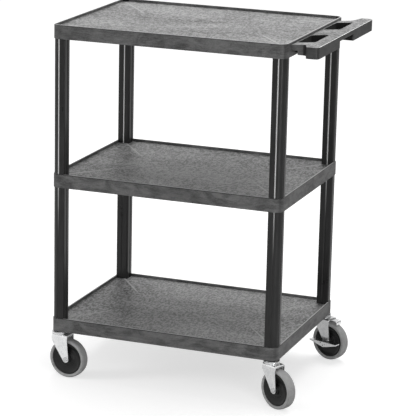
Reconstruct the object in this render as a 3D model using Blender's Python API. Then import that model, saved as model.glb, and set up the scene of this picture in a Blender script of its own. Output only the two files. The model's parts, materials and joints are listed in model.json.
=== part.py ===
"""Utility cart on swivel casters.

Three moulded shelves are stacked on four corner posts per tier. The top shelf carries a
moulded push handle at its right end. A caster with a stem, a ball race, a pressed fork and a
tyred wheel stands under each corner, and the two casters at the back have a rocker brake.

Lengths are in metres. X runs along the shelves towards the handle, Y runs from front to back
and Z runs up from the floor. The origin lies on the floor under the middle of the cart.
"""
import math

import bmesh
import bpy
from mathutils import Matrix, Vector

# Fits
CLEARANCE = 0.0003
CUT_OVERRUN = 0.002
FUSE_OVERLAP = 0.001

# Shelves
SHELF_LENGTH = 0.610
SHELF_WIDTH = 0.457
SHELF_CORNER_RADIUS = 0.020
SKIRT_HEIGHT = 0.035
SKIRT_WALL = 0.0045
LIP_WIDTH = 0.0045
LIP_HEIGHT = 0.007
DECK_THICKNESS = 0.005
RIB_WALL = 0.0035
RIB_RISE = 0.004
RIB_CELLS_LONG = 8
RIB_CELLS_WIDE = 6
CORNER_BLOCK_WALL = 0.004

# Tiers
CASTER_HEIGHT = 0.122
SHELF_SPACING = 0.378

# Posts
POST_SIDE = 0.033
POST_INSET = 0.002
POST_WALL = 0.0025
POST_GROOVE_RADIUS = 0.0025
POST_WING_RADIUS = 0.0035
POST_INNER_RADIUS = 0.0045
POST_BORE_RADIUS = 0.003
POST_SEAT_ABOVE = 0.014
POST_SEAT_BELOW = 0.016

# Push handle
HANDLE_REACH = 0.080
HANDLE_TOP_DROP = 0.001
HANDLE_ROOT_DROP = 0.005
HANDLE_DEPTH = 0.028
HANDLE_BAR_WIDTH = 0.031
HANDLE_BAR_LENGTH = 0.456
HANDLE_END_RADIUS = 0.011
HANDLE_WALL = 0.003
HANDLE_TOP_THICKNESS = 0.004
HANDLE_NECK_ROOT = 0.190
HANDLE_NECK_LEAN = 0.012
NECK_BEND = 0.010
NECK_RELIEF_REACH = 0.016
NECK_RELIEF_HEIGHT = 0.010
BAR_CORNER_BEND = 0.006
APERTURE_START = 0.044
APERTURE_LENGTH = 0.112
APERTURE_RADIUS = 0.007
APERTURE_STRIP = 0.004
BAR_RELIEF_LENGTH = 0.112
BAR_RELIEF_HEIGHT = 0.017

# Caster sleeve, stem and ball race
SLEEVE_RADIUS = 0.0095
SLEEVE_FLANGE_RADIUS = 0.015
SLEEVE_FLANGE_THICKNESS = 0.0015
SLEEVE_RISE = 0.038
STEM_RADIUS = 0.0055
STEM_RISE = 0.033
STEM_CHAMFER = 0.001
RACE_RADIUS = 0.0205
RACE_THICKNESS = 0.002
BALL_RADIUS = 0.0016
BALL_CIRCLE_RADIUS = 0.014
BALL_COUNT = 8
CAGE_WIDTH = 0.003
CAGE_THICKNESS = 0.001
CUP_WALL = 0.002
CUP_FLOOR = 0.001
KINGPIN_RADIUS = 0.004
KINGPIN_HEAD_RADIUS = 0.008
KINGPIN_HEAD_THICKNESS = 0.0025

# Fork
FORK_GAP = 0.031
FORK_THICKNESS = 0.0025
FORK_BEND_RADIUS = 0.005
CROWN_RADIUS = 0.0195
LEG_FRONT = 0.015
LEG_BACK = 0.030
LEG_SHOULDER = 0.015
LEG_END_RADIUS = 0.0085
CASTER_TRAIL = 0.026

# Wheel
WHEEL_HEADROOM = 0.0091
TYRE_WIDTH = 0.026
TYRE_THICKNESS = 0.009
TYRE_SHOULDER = 0.005
HUB_RIM_WIDTH = 0.022
HUB_RIM_WALL = 0.004
HUB_WEB_THICKNESS = 0.014
HUB_BOSS_RADIUS = 0.012
HUB_FILLET = 0.004
BUSH_RADIUS = 0.0065
AXLE_RADIUS = 0.0035
AXLE_HEAD_APOTHEM = 0.0055
AXLE_HEAD_THICKNESS = 0.0035
AXLE_END = 0.002

# Rocker brake
PEDAL_THICKNESS = 0.002
PEDAL_SPAN = 0.086
PEDAL_DEPTH = 0.017
PEDAL_RISE = 0.012
PEDAL_TIP_DEPTH = 0.009
PEDAL_PLATE_RADIUS = 0.010
PEDAL_HOLE_RADIUS = 0.002
PEDAL_HOLE_SPREAD = 0.009
SHOE_START = 0.011
SHOE_REACH = 0.052
SHOE_WIDTH = 0.020
SHOE_THICKNESS = 0.0015
SHOE_LIP = 0.009

# Facets
HALF_CORNER_STEPS = 4
GROOVE_STEPS = 5
SMALL_CORNER_STEPS = 2
BEND_STEPS = 3
TYRE_FACETS = 24
HUB_FACETS = 24
RACE_FACETS = 16
PIN_FACETS = 12
BALL_FACETS = 6
BALL_RINGS = 4
HEX_SIDES = 6

# Worked out from the sizes above
CORNER_STEPS = 2 * HALF_CORNER_STEPS
DECK_LEVEL = SKIRT_HEIGHT - LIP_HEIGHT
SEAT_FLOOR = SKIRT_HEIGHT - POST_SEAT_ABOVE
HANDLE_TOP = SKIRT_HEIGHT - HANDLE_TOP_DROP
HANDLE_BOTTOM = HANDLE_TOP - HANDLE_DEPTH
BAR_INNER = HANDLE_REACH - HANDLE_BAR_WIDTH
RACE_TOP = CASTER_HEIGHT - SLEEVE_FLANGE_THICKNESS - 2 * CLEARANCE
RACE_BOTTOM = RACE_TOP - RACE_THICKNESS
BALL_CENTRE = RACE_BOTTOM - CLEARANCE - BALL_RADIUS
CUP_TOP = BALL_CENTRE - BALL_RADIUS - CLEARANCE
CROWN_TOP = CUP_TOP - CUP_FLOOR - CLEARANCE
CROWN_BOTTOM = CROWN_TOP - FORK_THICKNESS
FACET_SHARE = math.cos(math.pi / TYRE_FACETS)
TYRE_RADIUS = (CROWN_BOTTOM - WHEEL_HEADROOM) / (1 + FACET_SHARE)
AXLE_HEIGHT = TYRE_RADIUS * FACET_SHARE
AXLE_DROP = CASTER_HEIGHT - AXLE_HEIGHT
FORK_OUTER = FORK_GAP / 2 + FORK_THICKNESS
SWIVEL_INSET = POST_INSET + POST_SIDE / 2
POST_CORNER_RADIUS = SHELF_CORNER_RADIUS - POST_INSET
POST_BORE_INSET = 2 * POST_GROOVE_RADIUS

# Corners as signs along X and Y, with each caster's turn at rest, and whether it has a brake
CASTERS = {
    "front_left": (-1, -1, math.radians(-6), False),
    "front_right": (1, -1, math.radians(-27), False),
    "back_left": (-1, 1, math.radians(-14), True),
    "back_right": (1, 1, math.radians(-19), True),
}

PLASTIC = ("charcoal_plastic", (0.085, 0.085, 0.088), 0.62, 0.0)
POST_PLASTIC = ("post_plastic", (0.035, 0.035, 0.037), 0.38, 0.0)
HUB_PLASTIC = ("hub_plastic", (0.015, 0.015, 0.016), 0.45, 0.0)
SLEEVE_PLASTIC = ("sleeve_plastic", (0.02, 0.02, 0.021), 0.5, 0.0)
TYRE_RUBBER = ("grey_rubber", (0.26, 0.26, 0.26), 0.8, 0.0)
ZINC = ("zinc_plate", (0.66, 0.67, 0.68), 0.28, 1.0)
STEEL = ("bright_steel", (0.55, 0.55, 0.56), 0.2, 1.0)


def material(look):
    """A plain material with a colour, a roughness and a metallic value."""
    name, colour, roughness, metallic = look
    found = bpy.data.materials.get(name)
    if found:
        return found
    made = bpy.data.materials.new(name)
    made.use_nodes = True
    shader = made.node_tree.nodes["Principled BSDF"]
    shader.inputs["Base Color"].default_value = (*colour, 1.0)
    shader.inputs["Roughness"].default_value = roughness
    shader.inputs["Metallic"].default_value = metallic
    return made


def mesh_object(name, form, look=None, smooth_angle=math.radians(35)):
    """Turns a bmesh into an object with its faces pointing out."""
    bmesh.ops.recalc_face_normals(form, faces=form.faces)
    mesh = bpy.data.meshes.new(name)
    form.to_mesh(mesh)
    form.free()
    mesh.shade_smooth()
    mesh.set_sharp_from_angle(angle=smooth_angle)
    if look:
        mesh.materials.append(material(look))
    made = bpy.data.objects.new(name, mesh)
    bpy.context.scene.collection.objects.link(made)
    return made


def combine(target, tool, operation):
    """Cuts, fuses or intersects the target with a tool and drops the tool."""
    modifier = target.modifiers.new(operation.lower(), "BOOLEAN")
    modifier.operation = operation
    modifier.solver = "EXACT"
    modifier.object = tool
    bpy.context.view_layer.update()
    depsgraph = bpy.context.evaluated_depsgraph_get()
    result = bpy.data.meshes.new_from_object(target.evaluated_get(depsgraph))
    target.modifiers.remove(modifier)
    target.data = result
    bpy.data.objects.remove(tool)


def arc(centre, radius, start, end, steps):
    """Points along an arc between two angles in degrees, both ends included."""
    points = []
    for i in range(steps + 1):
        angle = math.radians(start + (end - start) * i / steps)
        points.append((centre[0] + radius * math.cos(angle), centre[1] + radius * math.sin(angle)))
    return points


def circle(radius, count):
    """Outline of a circle about the axis."""
    return arc((0, 0), radius, 0, 360, count)[:-1]


def rounded_rectangle(low, high, radius, steps):
    """Outline of a rectangle with round corners, anticlockwise."""
    corners = (
        (high[0] - radius, high[1] - radius, 0),
        (low[0] + radius, high[1] - radius, 90),
        (low[0] + radius, low[1] + radius, 180),
        (high[0] - radius, low[1] + radius, 270),
    )
    outline = []
    for x, y, start in corners:
        outline += arc((x, y), radius, start, start + 90, steps)
    return outline


def add_prism(form, outline, low, high, place=None):
    """Adds a closed prism over an outline in the XY plane to a bmesh."""
    place = place or Matrix.Identity(4)
    rings = []
    for level in (low, high):
        rings.append([form.verts.new(place @ Vector((x, y, level))) for x, y in outline])
    bottom, top = rings
    count = len(outline)
    form.faces.new(list(reversed(bottom)))
    form.faces.new(top)
    for i in range(count):
        j = (i + 1) % count
        form.faces.new((bottom[i], bottom[j], top[j], top[i]))


def prism(name, outline, low, high, look=None, place=None):
    """One prism as an object."""
    form = bmesh.new()
    add_prism(form, outline, low, high, place)
    return mesh_object(name, form, look)


def ring_points(radius, level, count, phase, flats):
    """Points of one ring of a turned form. With flats, the radius is the apothem."""
    points = []
    for i in range(count):
        angle = phase + math.tau * i / count
        reach = radius
        if flats:
            sector = math.tau / flats
            reach = radius / math.cos(angle % sector - sector / 2)
        points.append(Vector((reach * math.cos(angle), reach * math.sin(angle), level)))
    return points


def add_turned(form, profile, count, phase=0.0, hollow=False, place=None):
    """Adds a form turned about Z. Each profile point is a radius, a level and its flats.

    A hollow form's profile closes on itself. A solid form's profile starts and ends on the axis.
    """
    place = place or Matrix.Identity(4)
    rings = []
    for radius, level, flats in profile:
        if radius == 0:
            rings.append([form.verts.new(place @ Vector((0, 0, level)))])
        else:
            points = ring_points(radius, level, count, phase, flats)
            rings.append([form.verts.new(place @ point) for point in points])
    pairs = list(zip(rings, rings[1:]))
    if hollow:
        pairs.append((rings[-1], rings[0]))
    for lower, upper in pairs:
        for i in range(count):
            j = (i + 1) % count
            if len(lower) == 1:
                form.faces.new((lower[0], upper[j], upper[i]))
            elif len(upper) == 1:
                form.faces.new((lower[i], lower[j], upper[0]))
            else:
                form.faces.new((lower[i], lower[j], upper[j], upper[i]))


def turned(name, profile, count, look=None, phase=0.0, hollow=False, place=None):
    """One turned form as an object."""
    form = bmesh.new()
    add_turned(form, profile, count, phase, hollow, place)
    return mesh_object(name, form, look)


def cut_shapes(target, outlines, low, high):
    """Cuts a set of prisms between two levels."""
    cutters = bmesh.new()
    for outline in outlines:
        add_prism(cutters, outline, low, high)
    combine(target, mesh_object("cutters", cutters), "DIFFERENCE")


def round_profile(points):
    """Adds the mark for round rings to radius and level pairs."""
    return [(radius, level, 0) for radius, level in points]


ACROSS = Matrix.Rotation(math.radians(-90), 4, "X")
SIDE_VIEW = Matrix(((1, 0, 0, 0), (0, 0, -1, 0), (0, 1, 0, 0), (0, 0, 0, 1)))
LENGTHWAYS = Matrix(((0, 0, 1, 0), (1, 0, 0, 0), (0, 1, 0, 0), (0, 0, 0, 1)))


def corner_signs():
    """The four corners' signs along X and Y."""
    return [(sign_x, sign_y) for sign_x, sign_y, turn, brake in CASTERS.values()]


def to_corner(point, signs):
    """Turns a distance in from a shelf corner's two faces into a place on the shelf."""
    x = signs[0] * (SHELF_LENGTH / 2 - point[0])
    y = signs[1] * (SHELF_WIDTH / 2 - point[1])
    return (x, y)


def at_corner(outline, signs):
    """Places an outline given as distances in from a corner's faces, kept anticlockwise."""
    placed = [to_corner(point, signs) for point in outline]
    if signs[0] * signs[1] < 0:
        placed.reverse()
    return placed


# Post


def post_outline():
    """Outline of a post as distances in from its corner's two faces.

    A large round outer corner runs into a round groove on each outer face, and past the
    groove a short wing ends in a small radius.
    """
    groove_centre = POST_CORNER_RADIUS + POST_GROOVE_RADIUS
    half = arc((POST_CORNER_RADIUS, POST_CORNER_RADIUS), POST_CORNER_RADIUS, 225, 270, HALF_CORNER_STEPS)
    half += arc((groove_centre, 0), POST_GROOVE_RADIUS, 180, 0, GROOVE_STEPS)[1:]
    wing = POST_SIDE - POST_WING_RADIUS
    half += arc((wing, POST_WING_RADIUS), POST_WING_RADIUS, 270, 360, SMALL_CORNER_STEPS)
    inner = POST_SIDE - POST_INNER_RADIUS
    half += arc((inner, inner), POST_INNER_RADIUS, 0, 45, SMALL_CORNER_STEPS)
    mirrored = [(y, x) for x, y in reversed(half)]
    return shifted(half + mirrored[1:-1], POST_INSET)


def shifted(outline, distance):
    """Moves an outline by one distance along both axes."""
    return [(x + distance, y + distance) for x, y in outline]


def square_about_post(outer, inner, corner_radius, small_radius):
    """Rounded square from one distance to another in from the corner, with one larger corner."""
    outline = arc((outer + corner_radius, outer + corner_radius), corner_radius, 180, 270, CORNER_STEPS)
    edge = inner - small_radius
    outline += arc((edge, outer + small_radius), small_radius, 270, 360, SMALL_CORNER_STEPS)
    outline += arc((edge, edge), small_radius, 0, 90, SMALL_CORNER_STEPS)
    outline += arc((outer + small_radius, edge), small_radius, 90, 180, SMALL_CORNER_STEPS)
    return outline


def post_bore_outline():
    """Outline of the hollow inside a post."""
    outer = POST_INSET + POST_BORE_INSET
    inner = POST_INSET + POST_SIDE - POST_WALL
    return square_about_post(outer, inner, POST_CORNER_RADIUS - POST_BORE_INSET, POST_BORE_RADIUS)


def socket_outline():
    """Outline of the socket that a post stands in."""
    outer = POST_INSET - CLEARANCE
    inner = POST_INSET + POST_SIDE + CLEARANCE
    return square_about_post(outer, inner, POST_CORNER_RADIUS + CLEARANCE, POST_WING_RADIUS)


def make_post(name, signs, underside):
    """A hollow post from the socket of one shelf to the socket of the next."""
    low = underside + SEAT_FLOOR + CLEARANCE
    high = underside + SHELF_SPACING + POST_SEAT_BELOW - CLEARANCE
    post = prism(name, at_corner(post_outline(), signs), low, high, POST_PLASTIC)
    bore = prism("bore", at_corner(post_bore_outline(), signs), low - CUT_OVERRUN, high + CUT_OVERRUN)
    combine(post, bore, "DIFFERENCE")
    return post


# Shelf


def shelf_blank(name, underside):
    """The shelf's outer block with its tray sunk into the top."""
    half = (SHELF_LENGTH / 2, SHELF_WIDTH / 2)
    outline = rounded_rectangle((-half[0], -half[1]), half, SHELF_CORNER_RADIUS, CORNER_STEPS)
    blank = prism(name, outline, underside, underside + SKIRT_HEIGHT, PLASTIC)
    tray = (half[0] - LIP_WIDTH, half[1] - LIP_WIDTH)
    radius = SHELF_CORNER_RADIUS - LIP_WIDTH
    outline = rounded_rectangle((-tray[0], -tray[1]), tray, radius, CORNER_STEPS)
    low = underside + DECK_LEVEL
    high = underside + SKIRT_HEIGHT + CUT_OVERRUN
    combine(blank, prism("tray", outline, low, high), "DIFFERENCE")
    return blank


def pocket_outlines():
    """Outlines of the pockets between the ribs, notched round the corner blocks."""
    half = (SHELF_LENGTH / 2 - SKIRT_WALL, SHELF_WIDTH / 2 - SKIRT_WALL)
    pitch = (2 * half[0] / RIB_CELLS_LONG, 2 * half[1] / RIB_CELLS_WIDE)
    outlines = []
    for i in range(RIB_CELLS_LONG):
        for j in range(RIB_CELLS_WIDE):
            low = [-half[0] + i * pitch[0], -half[1] + j * pitch[1]]
            high = [low[0] + pitch[0], low[1] + pitch[1]]
            last = (i == RIB_CELLS_LONG - 1, j == RIB_CELLS_WIDE - 1)
            first = (i == 0, j == 0)
            for axis in (0, 1):
                if not first[axis]:
                    low[axis] += RIB_WALL / 2
                if not last[axis]:
                    high[axis] -= RIB_WALL / 2
            if any(first[:1] + last[:1]) and any(first[1:] + last[1:]):
                signs = (1 if last[0] else -1, 1 if last[1] else -1)
                outlines.append(notched(low, high, signs))
            else:
                outlines.append([tuple(low), (high[0], low[1]), tuple(high), (low[0], high[1])])
    return outlines


def notched(low, high, signs):
    """A corner pocket, drawn round the block that holds the post."""
    block = POST_INSET + POST_SIDE + CLEARANCE + CORNER_BLOCK_WALL
    skirt = SKIRT_WALL
    depth = (high[0] - low[0] + skirt, high[1] - low[1] + skirt)
    outline = [(block, skirt), (depth[0], skirt), depth, (skirt, depth[1]), (skirt, block), (block, block)]
    return at_corner(outline, signs)


def cut_pockets(shelf, underside):
    """Hollows the underside between the skirt, the deck and a grid of ribs."""
    high = underside + DECK_LEVEL - DECK_THICKNESS
    cut_shapes(shelf, pocket_outlines(), underside + RIB_RISE, high)
    cut_shapes(shelf, [clearing_outline()], underside - CUT_OVERRUN, underside + RIB_RISE)


def clearing_outline():
    """Area inside the skirt where the ribs stop short of its lower edge."""
    block = POST_INSET + POST_SIDE + CLEARANCE + CORNER_BLOCK_WALL
    outline = []
    for signs in ((1, 1), (-1, 1), (-1, -1), (1, -1)):
        step = [(SKIRT_WALL, block), (block, block), (block, SKIRT_WALL)]
        placed = [to_corner(point, signs) for point in step]
        if signs[0] * signs[1] < 0:
            placed.reverse()
        outline += placed
    return outline


def cut_sockets(shelf, low, high):
    """Sinks the four post sockets between two levels."""
    cut_shapes(shelf, [at_corner(socket_outline(), signs) for signs in corner_signs()], low, high)


def cut_stem_holes(shelf, underside):
    """Drills the four holes for the caster sleeves."""
    outlines = []
    for signs in corner_signs():
        centre = to_corner((SWIVEL_INSET, SWIVEL_INSET), signs)
        outlines.append(arc(centre, SLEEVE_RADIUS + CLEARANCE, 0, 360, PIN_FACETS)[:-1])
    cut_shapes(shelf, outlines, underside - CUT_OVERRUN, underside + SEAT_FLOOR + CUT_OVERRUN)


def make_shelf(name, underside, sockets_above, sockets_below):
    """One shelf with its tray, ribs and the sockets that it needs."""
    shelf = shelf_blank(name, underside)
    cut_pockets(shelf, underside)
    top = underside + SKIRT_HEIGHT
    if sockets_above:
        cut_sockets(shelf, top - POST_SEAT_ABOVE, top + CUT_OVERRUN)
    if sockets_below:
        cut_sockets(shelf, underside - CUT_OVERRUN, underside + POST_SEAT_BELOW)
    else:
        cut_stem_holes(shelf, underside)
    return shelf


# Handle


def bend(before, corner, after, reach):
    """Points of a soft bend in place of one corner of an outline."""
    middle = Vector(corner)
    start = middle + (Vector(before) - middle).normalized() * reach
    end = middle + (Vector(after) - middle).normalized() * reach
    points = []
    for i in range(BEND_STEPS + 1):
        share = i / BEND_STEPS
        point = start.lerp(middle, share).lerp(middle.lerp(end, share), share)
        points.append((point.x, point.y))
    return points


def handle_outline():
    """Outline of the handle seen from above, measured out from the shelf's right face."""
    half = HANDLE_BAR_LENGTH / 2
    root = (-FUSE_OVERLAP, HANDLE_NECK_ROOT)
    neck = (BAR_INNER - HANDLE_NECK_LEAN, HANDLE_NECK_ROOT)
    tip = (BAR_INNER, half)
    corner = (HANDLE_REACH - HANDLE_END_RADIUS, half - HANDLE_END_RADIUS)
    back = [root]
    back += bend(root, neck, tip, NECK_BEND)
    back += bend(neck, tip, (HANDLE_REACH, half), BAR_CORNER_BEND)
    back += arc(corner, HANDLE_END_RADIUS, 90, 0, CORNER_STEPS)
    front = [(x, -y) for x, y in reversed(back)]
    edge = SHELF_LENGTH / 2
    outline = [(x + edge, y) for x, y in back + front]
    outline.reverse()
    return outline


def handle_box(low, high, radius):
    """Rounded rectangle on the handle, measured out from the shelf's right face."""
    edge = SHELF_LENGTH / 2
    return rounded_rectangle((low[0] + edge, low[1]), (high[0] + edge, high[1]), radius, SMALL_CORNER_STEPS)


def aperture_outlines():
    """The two finger apertures."""
    outlines = []
    for sign in (1, -1):
        ends = sorted((sign * APERTURE_START, sign * (APERTURE_START + APERTURE_LENGTH)))
        outlines.append(handle_box((APERTURE_STRIP, ends[0]), (BAR_INNER, ends[1]), APERTURE_RADIUS))
    return outlines


def hollow_outlines():
    """Hollows under the bar's two grips and its middle, the middle web and the two necks."""
    low = BAR_INNER + HANDLE_WALL
    high = HANDLE_REACH - HANDLE_WALL
    half = HANDLE_BAR_LENGTH / 2 - HANDLE_WALL
    relief = BAR_RELIEF_LENGTH / 2
    web = APERTURE_START - HANDLE_WALL
    necks = (APERTURE_START + APERTURE_LENGTH + HANDLE_WALL, HANDLE_NECK_ROOT - HANDLE_WALL)
    inner = BAR_INNER - HANDLE_WALL
    outlines = [handle_box((low, -relief), (high, relief), HANDLE_WALL)]
    outlines.append(handle_box((APERTURE_STRIP, -web), (inner, web), APERTURE_RADIUS))
    for sign in (1, -1):
        ends = sorted((sign * (relief + HANDLE_WALL), sign * half))
        outlines.append(handle_box((low, ends[0]), (high, ends[1]), APERTURE_RADIUS))
        ends = sorted((sign * necks[0], sign * necks[1]))
        outlines.append(handle_box((APERTURE_STRIP, ends[0]), (inner, ends[1]), APERTURE_RADIUS))
    return outlines


def neck_reliefs():
    """Places beside the skirt where the two necks are shallower."""
    low = APERTURE_START + APERTURE_LENGTH + HANDLE_WALL
    high = HANDLE_NECK_ROOT + CUT_OVERRUN
    outlines = []
    for sign in (1, -1):
        ends = sorted((sign * low, sign * high))
        outlines.append(handle_box((-CUT_OVERRUN, ends[0]), (NECK_RELIEF_REACH, ends[1]), FUSE_OVERLAP))
    return outlines


def root_slope(top):
    """Wedge above the arms and the web, which fall from the bar towards the shelf."""
    edge = SHELF_LENGTH / 2
    half = HANDLE_BAR_LENGTH / 2
    start = (edge - CUT_OVERRUN, top - HANDLE_ROOT_DROP)
    end = (edge + BAR_INNER, top)
    outline = [start, end, (end[0], top + CUT_OVERRUN), (start[0], top + CUT_OVERRUN)]
    return prism("slope", outline, -half, half, None, SIDE_VIEW)


def make_handle(underside):
    """The push handle as one moulding, open underneath."""
    top = underside + HANDLE_TOP
    bottom = underside + HANDLE_BOTTOM
    handle = prism("handle", handle_outline(), bottom, top, PLASTIC)
    combine(handle, root_slope(top), "DIFFERENCE")
    cut_shapes(handle, aperture_outlines(), bottom - CUT_OVERRUN, top + CUT_OVERRUN)
    ceiling = top - HANDLE_ROOT_DROP - HANDLE_TOP_THICKNESS
    cut_shapes(handle, hollow_outlines(), bottom - CUT_OVERRUN, ceiling)
    half = BAR_RELIEF_LENGTH / 2
    start = (BAR_INNER + HANDLE_WALL, -half)
    relief = handle_box(start, (HANDLE_REACH + CUT_OVERRUN, half), FUSE_OVERLAP)
    cut_shapes(handle, [relief], bottom - CUT_OVERRUN, bottom + BAR_RELIEF_HEIGHT)
    cut_shapes(handle, neck_reliefs(), bottom - CUT_OVERRUN, bottom + NECK_RELIEF_HEIGHT)
    return handle


# Caster


def make_sleeve(name):
    """Flanged plastic sleeve in the corner block and the post."""
    low = CASTER_HEIGHT - CLEARANCE - SLEEVE_FLANGE_THICKNESS
    bore = STEM_RADIUS + CLEARANCE
    profile = [
        (bore, low),
        (SLEEVE_FLANGE_RADIUS, low),
        (SLEEVE_FLANGE_RADIUS, CASTER_HEIGHT - CLEARANCE),
        (SLEEVE_RADIUS, CASTER_HEIGHT - CLEARANCE),
        (SLEEVE_RADIUS, CASTER_HEIGHT + SLEEVE_RISE),
        (bore, CASTER_HEIGHT + SLEEVE_RISE),
    ]
    return turned(name, round_profile(profile), PIN_FACETS, SLEEVE_PLASTIC, hollow=True)


def make_stem(name):
    """Stem, upper race and riveted kingpin as one turned piece."""
    head_top = CROWN_BOTTOM - CLEARANCE
    head_bottom = head_top - KINGPIN_HEAD_THICKNESS
    tip = CASTER_HEIGHT + STEM_RISE
    profile = [
        (0, head_bottom),
        (KINGPIN_HEAD_RADIUS, head_bottom),
        (KINGPIN_HEAD_RADIUS, head_top),
        (KINGPIN_RADIUS, head_top),
        (KINGPIN_RADIUS, RACE_BOTTOM),
        (RACE_RADIUS - CUP_WALL - CLEARANCE, RACE_BOTTOM),
        (RACE_RADIUS, RACE_TOP - CUP_FLOOR),
        (RACE_RADIUS, RACE_TOP),
        (STEM_RADIUS, RACE_TOP),
        (STEM_RADIUS, tip - STEM_CHAMFER),
        (STEM_RADIUS - STEM_CHAMFER, tip),
        (0, tip),
    ]
    return turned(name, round_profile(profile), RACE_FACETS, ZINC)


def make_cup(name):
    """Lower race: a shallow cup that holds the balls on the crown."""
    floor = CUP_TOP - CUP_FLOOR
    rim = RACE_BOTTOM - CLEARANCE
    bore = KINGPIN_RADIUS + CLEARANCE
    wall = RACE_RADIUS - CUP_WALL
    profile = [(bore, floor), (RACE_RADIUS, floor), (RACE_RADIUS, rim)]
    profile += [(wall, rim), (wall, CUP_TOP), (bore, CUP_TOP)]
    return turned(name, round_profile(profile), RACE_FACETS, ZINC, hollow=True)


def make_balls(name):
    """The balls between the two races, held by a thin cage."""
    low = BALL_CENTRE - CAGE_THICKNESS / 2
    high = BALL_CENTRE + CAGE_THICKNESS / 2
    inner = BALL_CIRCLE_RADIUS - CAGE_WIDTH / 2
    outer = BALL_CIRCLE_RADIUS + CAGE_WIDTH / 2
    profile = round_profile([(inner, low), (outer, low), (outer, high), (inner, high)])
    cage = turned(name, profile, RACE_FACETS, STEEL, hollow=True)
    form = bmesh.new()
    for i in range(BALL_COUNT):
        angle = math.tau * i / BALL_COUNT
        place = Matrix.Rotation(angle, 4, "Z") @ Matrix.Translation((BALL_CIRCLE_RADIUS, 0, BALL_CENTRE))
        bmesh.ops.create_uvsphere(
            form, u_segments=BALL_FACETS, v_segments=BALL_RINGS, radius=BALL_RADIUS, matrix=place
        )
    combine(cage, mesh_object("balls", form), "UNION")
    return cage


def channel_outline():
    """Section of the pressed channel that the fork is bent from, across and down."""
    foot = AXLE_HEIGHT - 2 * LEG_END_RADIUS
    inner_radius = FORK_BEND_RADIUS - FORK_THICKNESS
    bend = CROWN_TOP - FORK_BEND_RADIUS
    outer = arc((FORK_OUTER - FORK_BEND_RADIUS, bend), FORK_BEND_RADIUS, 0, 90, SMALL_CORNER_STEPS)
    inner = arc((FORK_OUTER - FORK_BEND_RADIUS, bend), inner_radius, 90, 0, SMALL_CORNER_STEPS)
    right = [(FORK_OUTER, foot)] + outer
    left = [(-x, z) for x, z in reversed(right)]
    under_left = [(-x, z) for x, z in reversed(inner)]
    return right + left + [(-FORK_GAP / 2, foot)] + under_left + inner + [(FORK_GAP / 2, foot)]


def leg_outline():
    """Side view of the fork: broad at the crown, tapering to a round end at the axle."""
    shoulder = CROWN_TOP - LEG_SHOULDER
    end = arc((CASTER_TRAIL, AXLE_HEIGHT), LEG_END_RADIUS, 200, 355, CORNER_STEPS)
    top = CROWN_TOP + CUT_OVERRUN
    return end + [(LEG_BACK, shoulder), (LEG_BACK, top), (-LEG_FRONT, top), (-LEG_FRONT, shoulder)]


def make_fork(name):
    """Pressed fork: a bent channel trimmed to its side view, with a round crown, drilled."""
    reach = CASTER_TRAIL + 2 * LEG_END_RADIUS
    width = FORK_OUTER + CUT_OVERRUN
    fork = prism(name, channel_outline(), -reach, reach, ZINC, LENGTHWAYS)
    combine(fork, prism("side", leg_outline(), -width, width, None, SIDE_VIEW), "INTERSECT")
    crown = prism("crown", circle(CROWN_RADIUS, RACE_FACETS), CROWN_BOTTOM, CROWN_TOP)
    combine(fork, crown, "UNION")
    axle = Matrix.Translation((CASTER_TRAIL, 0, AXLE_HEIGHT)) @ ACROSS
    hole = circle(AXLE_RADIUS + CLEARANCE, PIN_FACETS)
    combine(fork, prism("axle_hole", hole, -width, width, None, axle), "DIFFERENCE")
    bore = circle(KINGPIN_RADIUS + CLEARANCE, RACE_FACETS)
    high = CROWN_TOP + CUT_OVERRUN
    combine(fork, prism("bore", bore, CROWN_BOTTOM - CUT_OVERRUN, high), "DIFFERENCE")
    return fork


def hex_prism_profile(apothem, low, high, bore):
    """Profile of a drilled hexagon."""
    return [(bore, low, 0), (apothem, low, HEX_SIDES), (apothem, high, HEX_SIDES), (bore, high, 0)]


def make_bolt(name, brake):
    """Axle bolt, with its head on the side that faces the front."""
    seat = FORK_OUTER + CLEARANCE
    if brake:
        seat += PEDAL_THICKNESS + CLEARANCE
    tail = FORK_OUTER + AXLE_HEAD_THICKNESS + AXLE_END
    profile = [
        (0, -seat - AXLE_HEAD_THICKNESS, 0),
        (AXLE_HEAD_APOTHEM, -seat - AXLE_HEAD_THICKNESS, HEX_SIDES),
        (AXLE_HEAD_APOTHEM, -seat, HEX_SIDES),
        (AXLE_RADIUS, -seat, 0),
        (AXLE_RADIUS, tail, 0),
        (0, tail, 0),
    ]
    return turned(name, profile, PIN_FACETS, STEEL, place=ACROSS)


def make_nut(name):
    """Nut on the far side of the axle bolt."""
    low = FORK_OUTER + CLEARANCE
    profile = hex_prism_profile(AXLE_HEAD_APOTHEM, low, low + AXLE_HEAD_THICKNESS, AXLE_RADIUS + CLEARANCE)
    return turned(name, profile, PIN_FACETS, STEEL, hollow=True, place=ACROSS)


def make_bush(name):
    """Steel bush that the wheel turns on."""
    half = FORK_GAP / 2 - CLEARANCE
    bore = AXLE_RADIUS + CLEARANCE
    profile = [(bore, -half), (BUSH_RADIUS, -half), (BUSH_RADIUS, half), (bore, half)]
    return turned(name, round_profile(profile), PIN_FACETS, STEEL, hollow=True, place=ACROSS)


def hub_radius():
    """Outer radius of the hub under the tyre."""
    return TYRE_RADIUS - TYRE_THICKNESS - CLEARANCE


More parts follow.
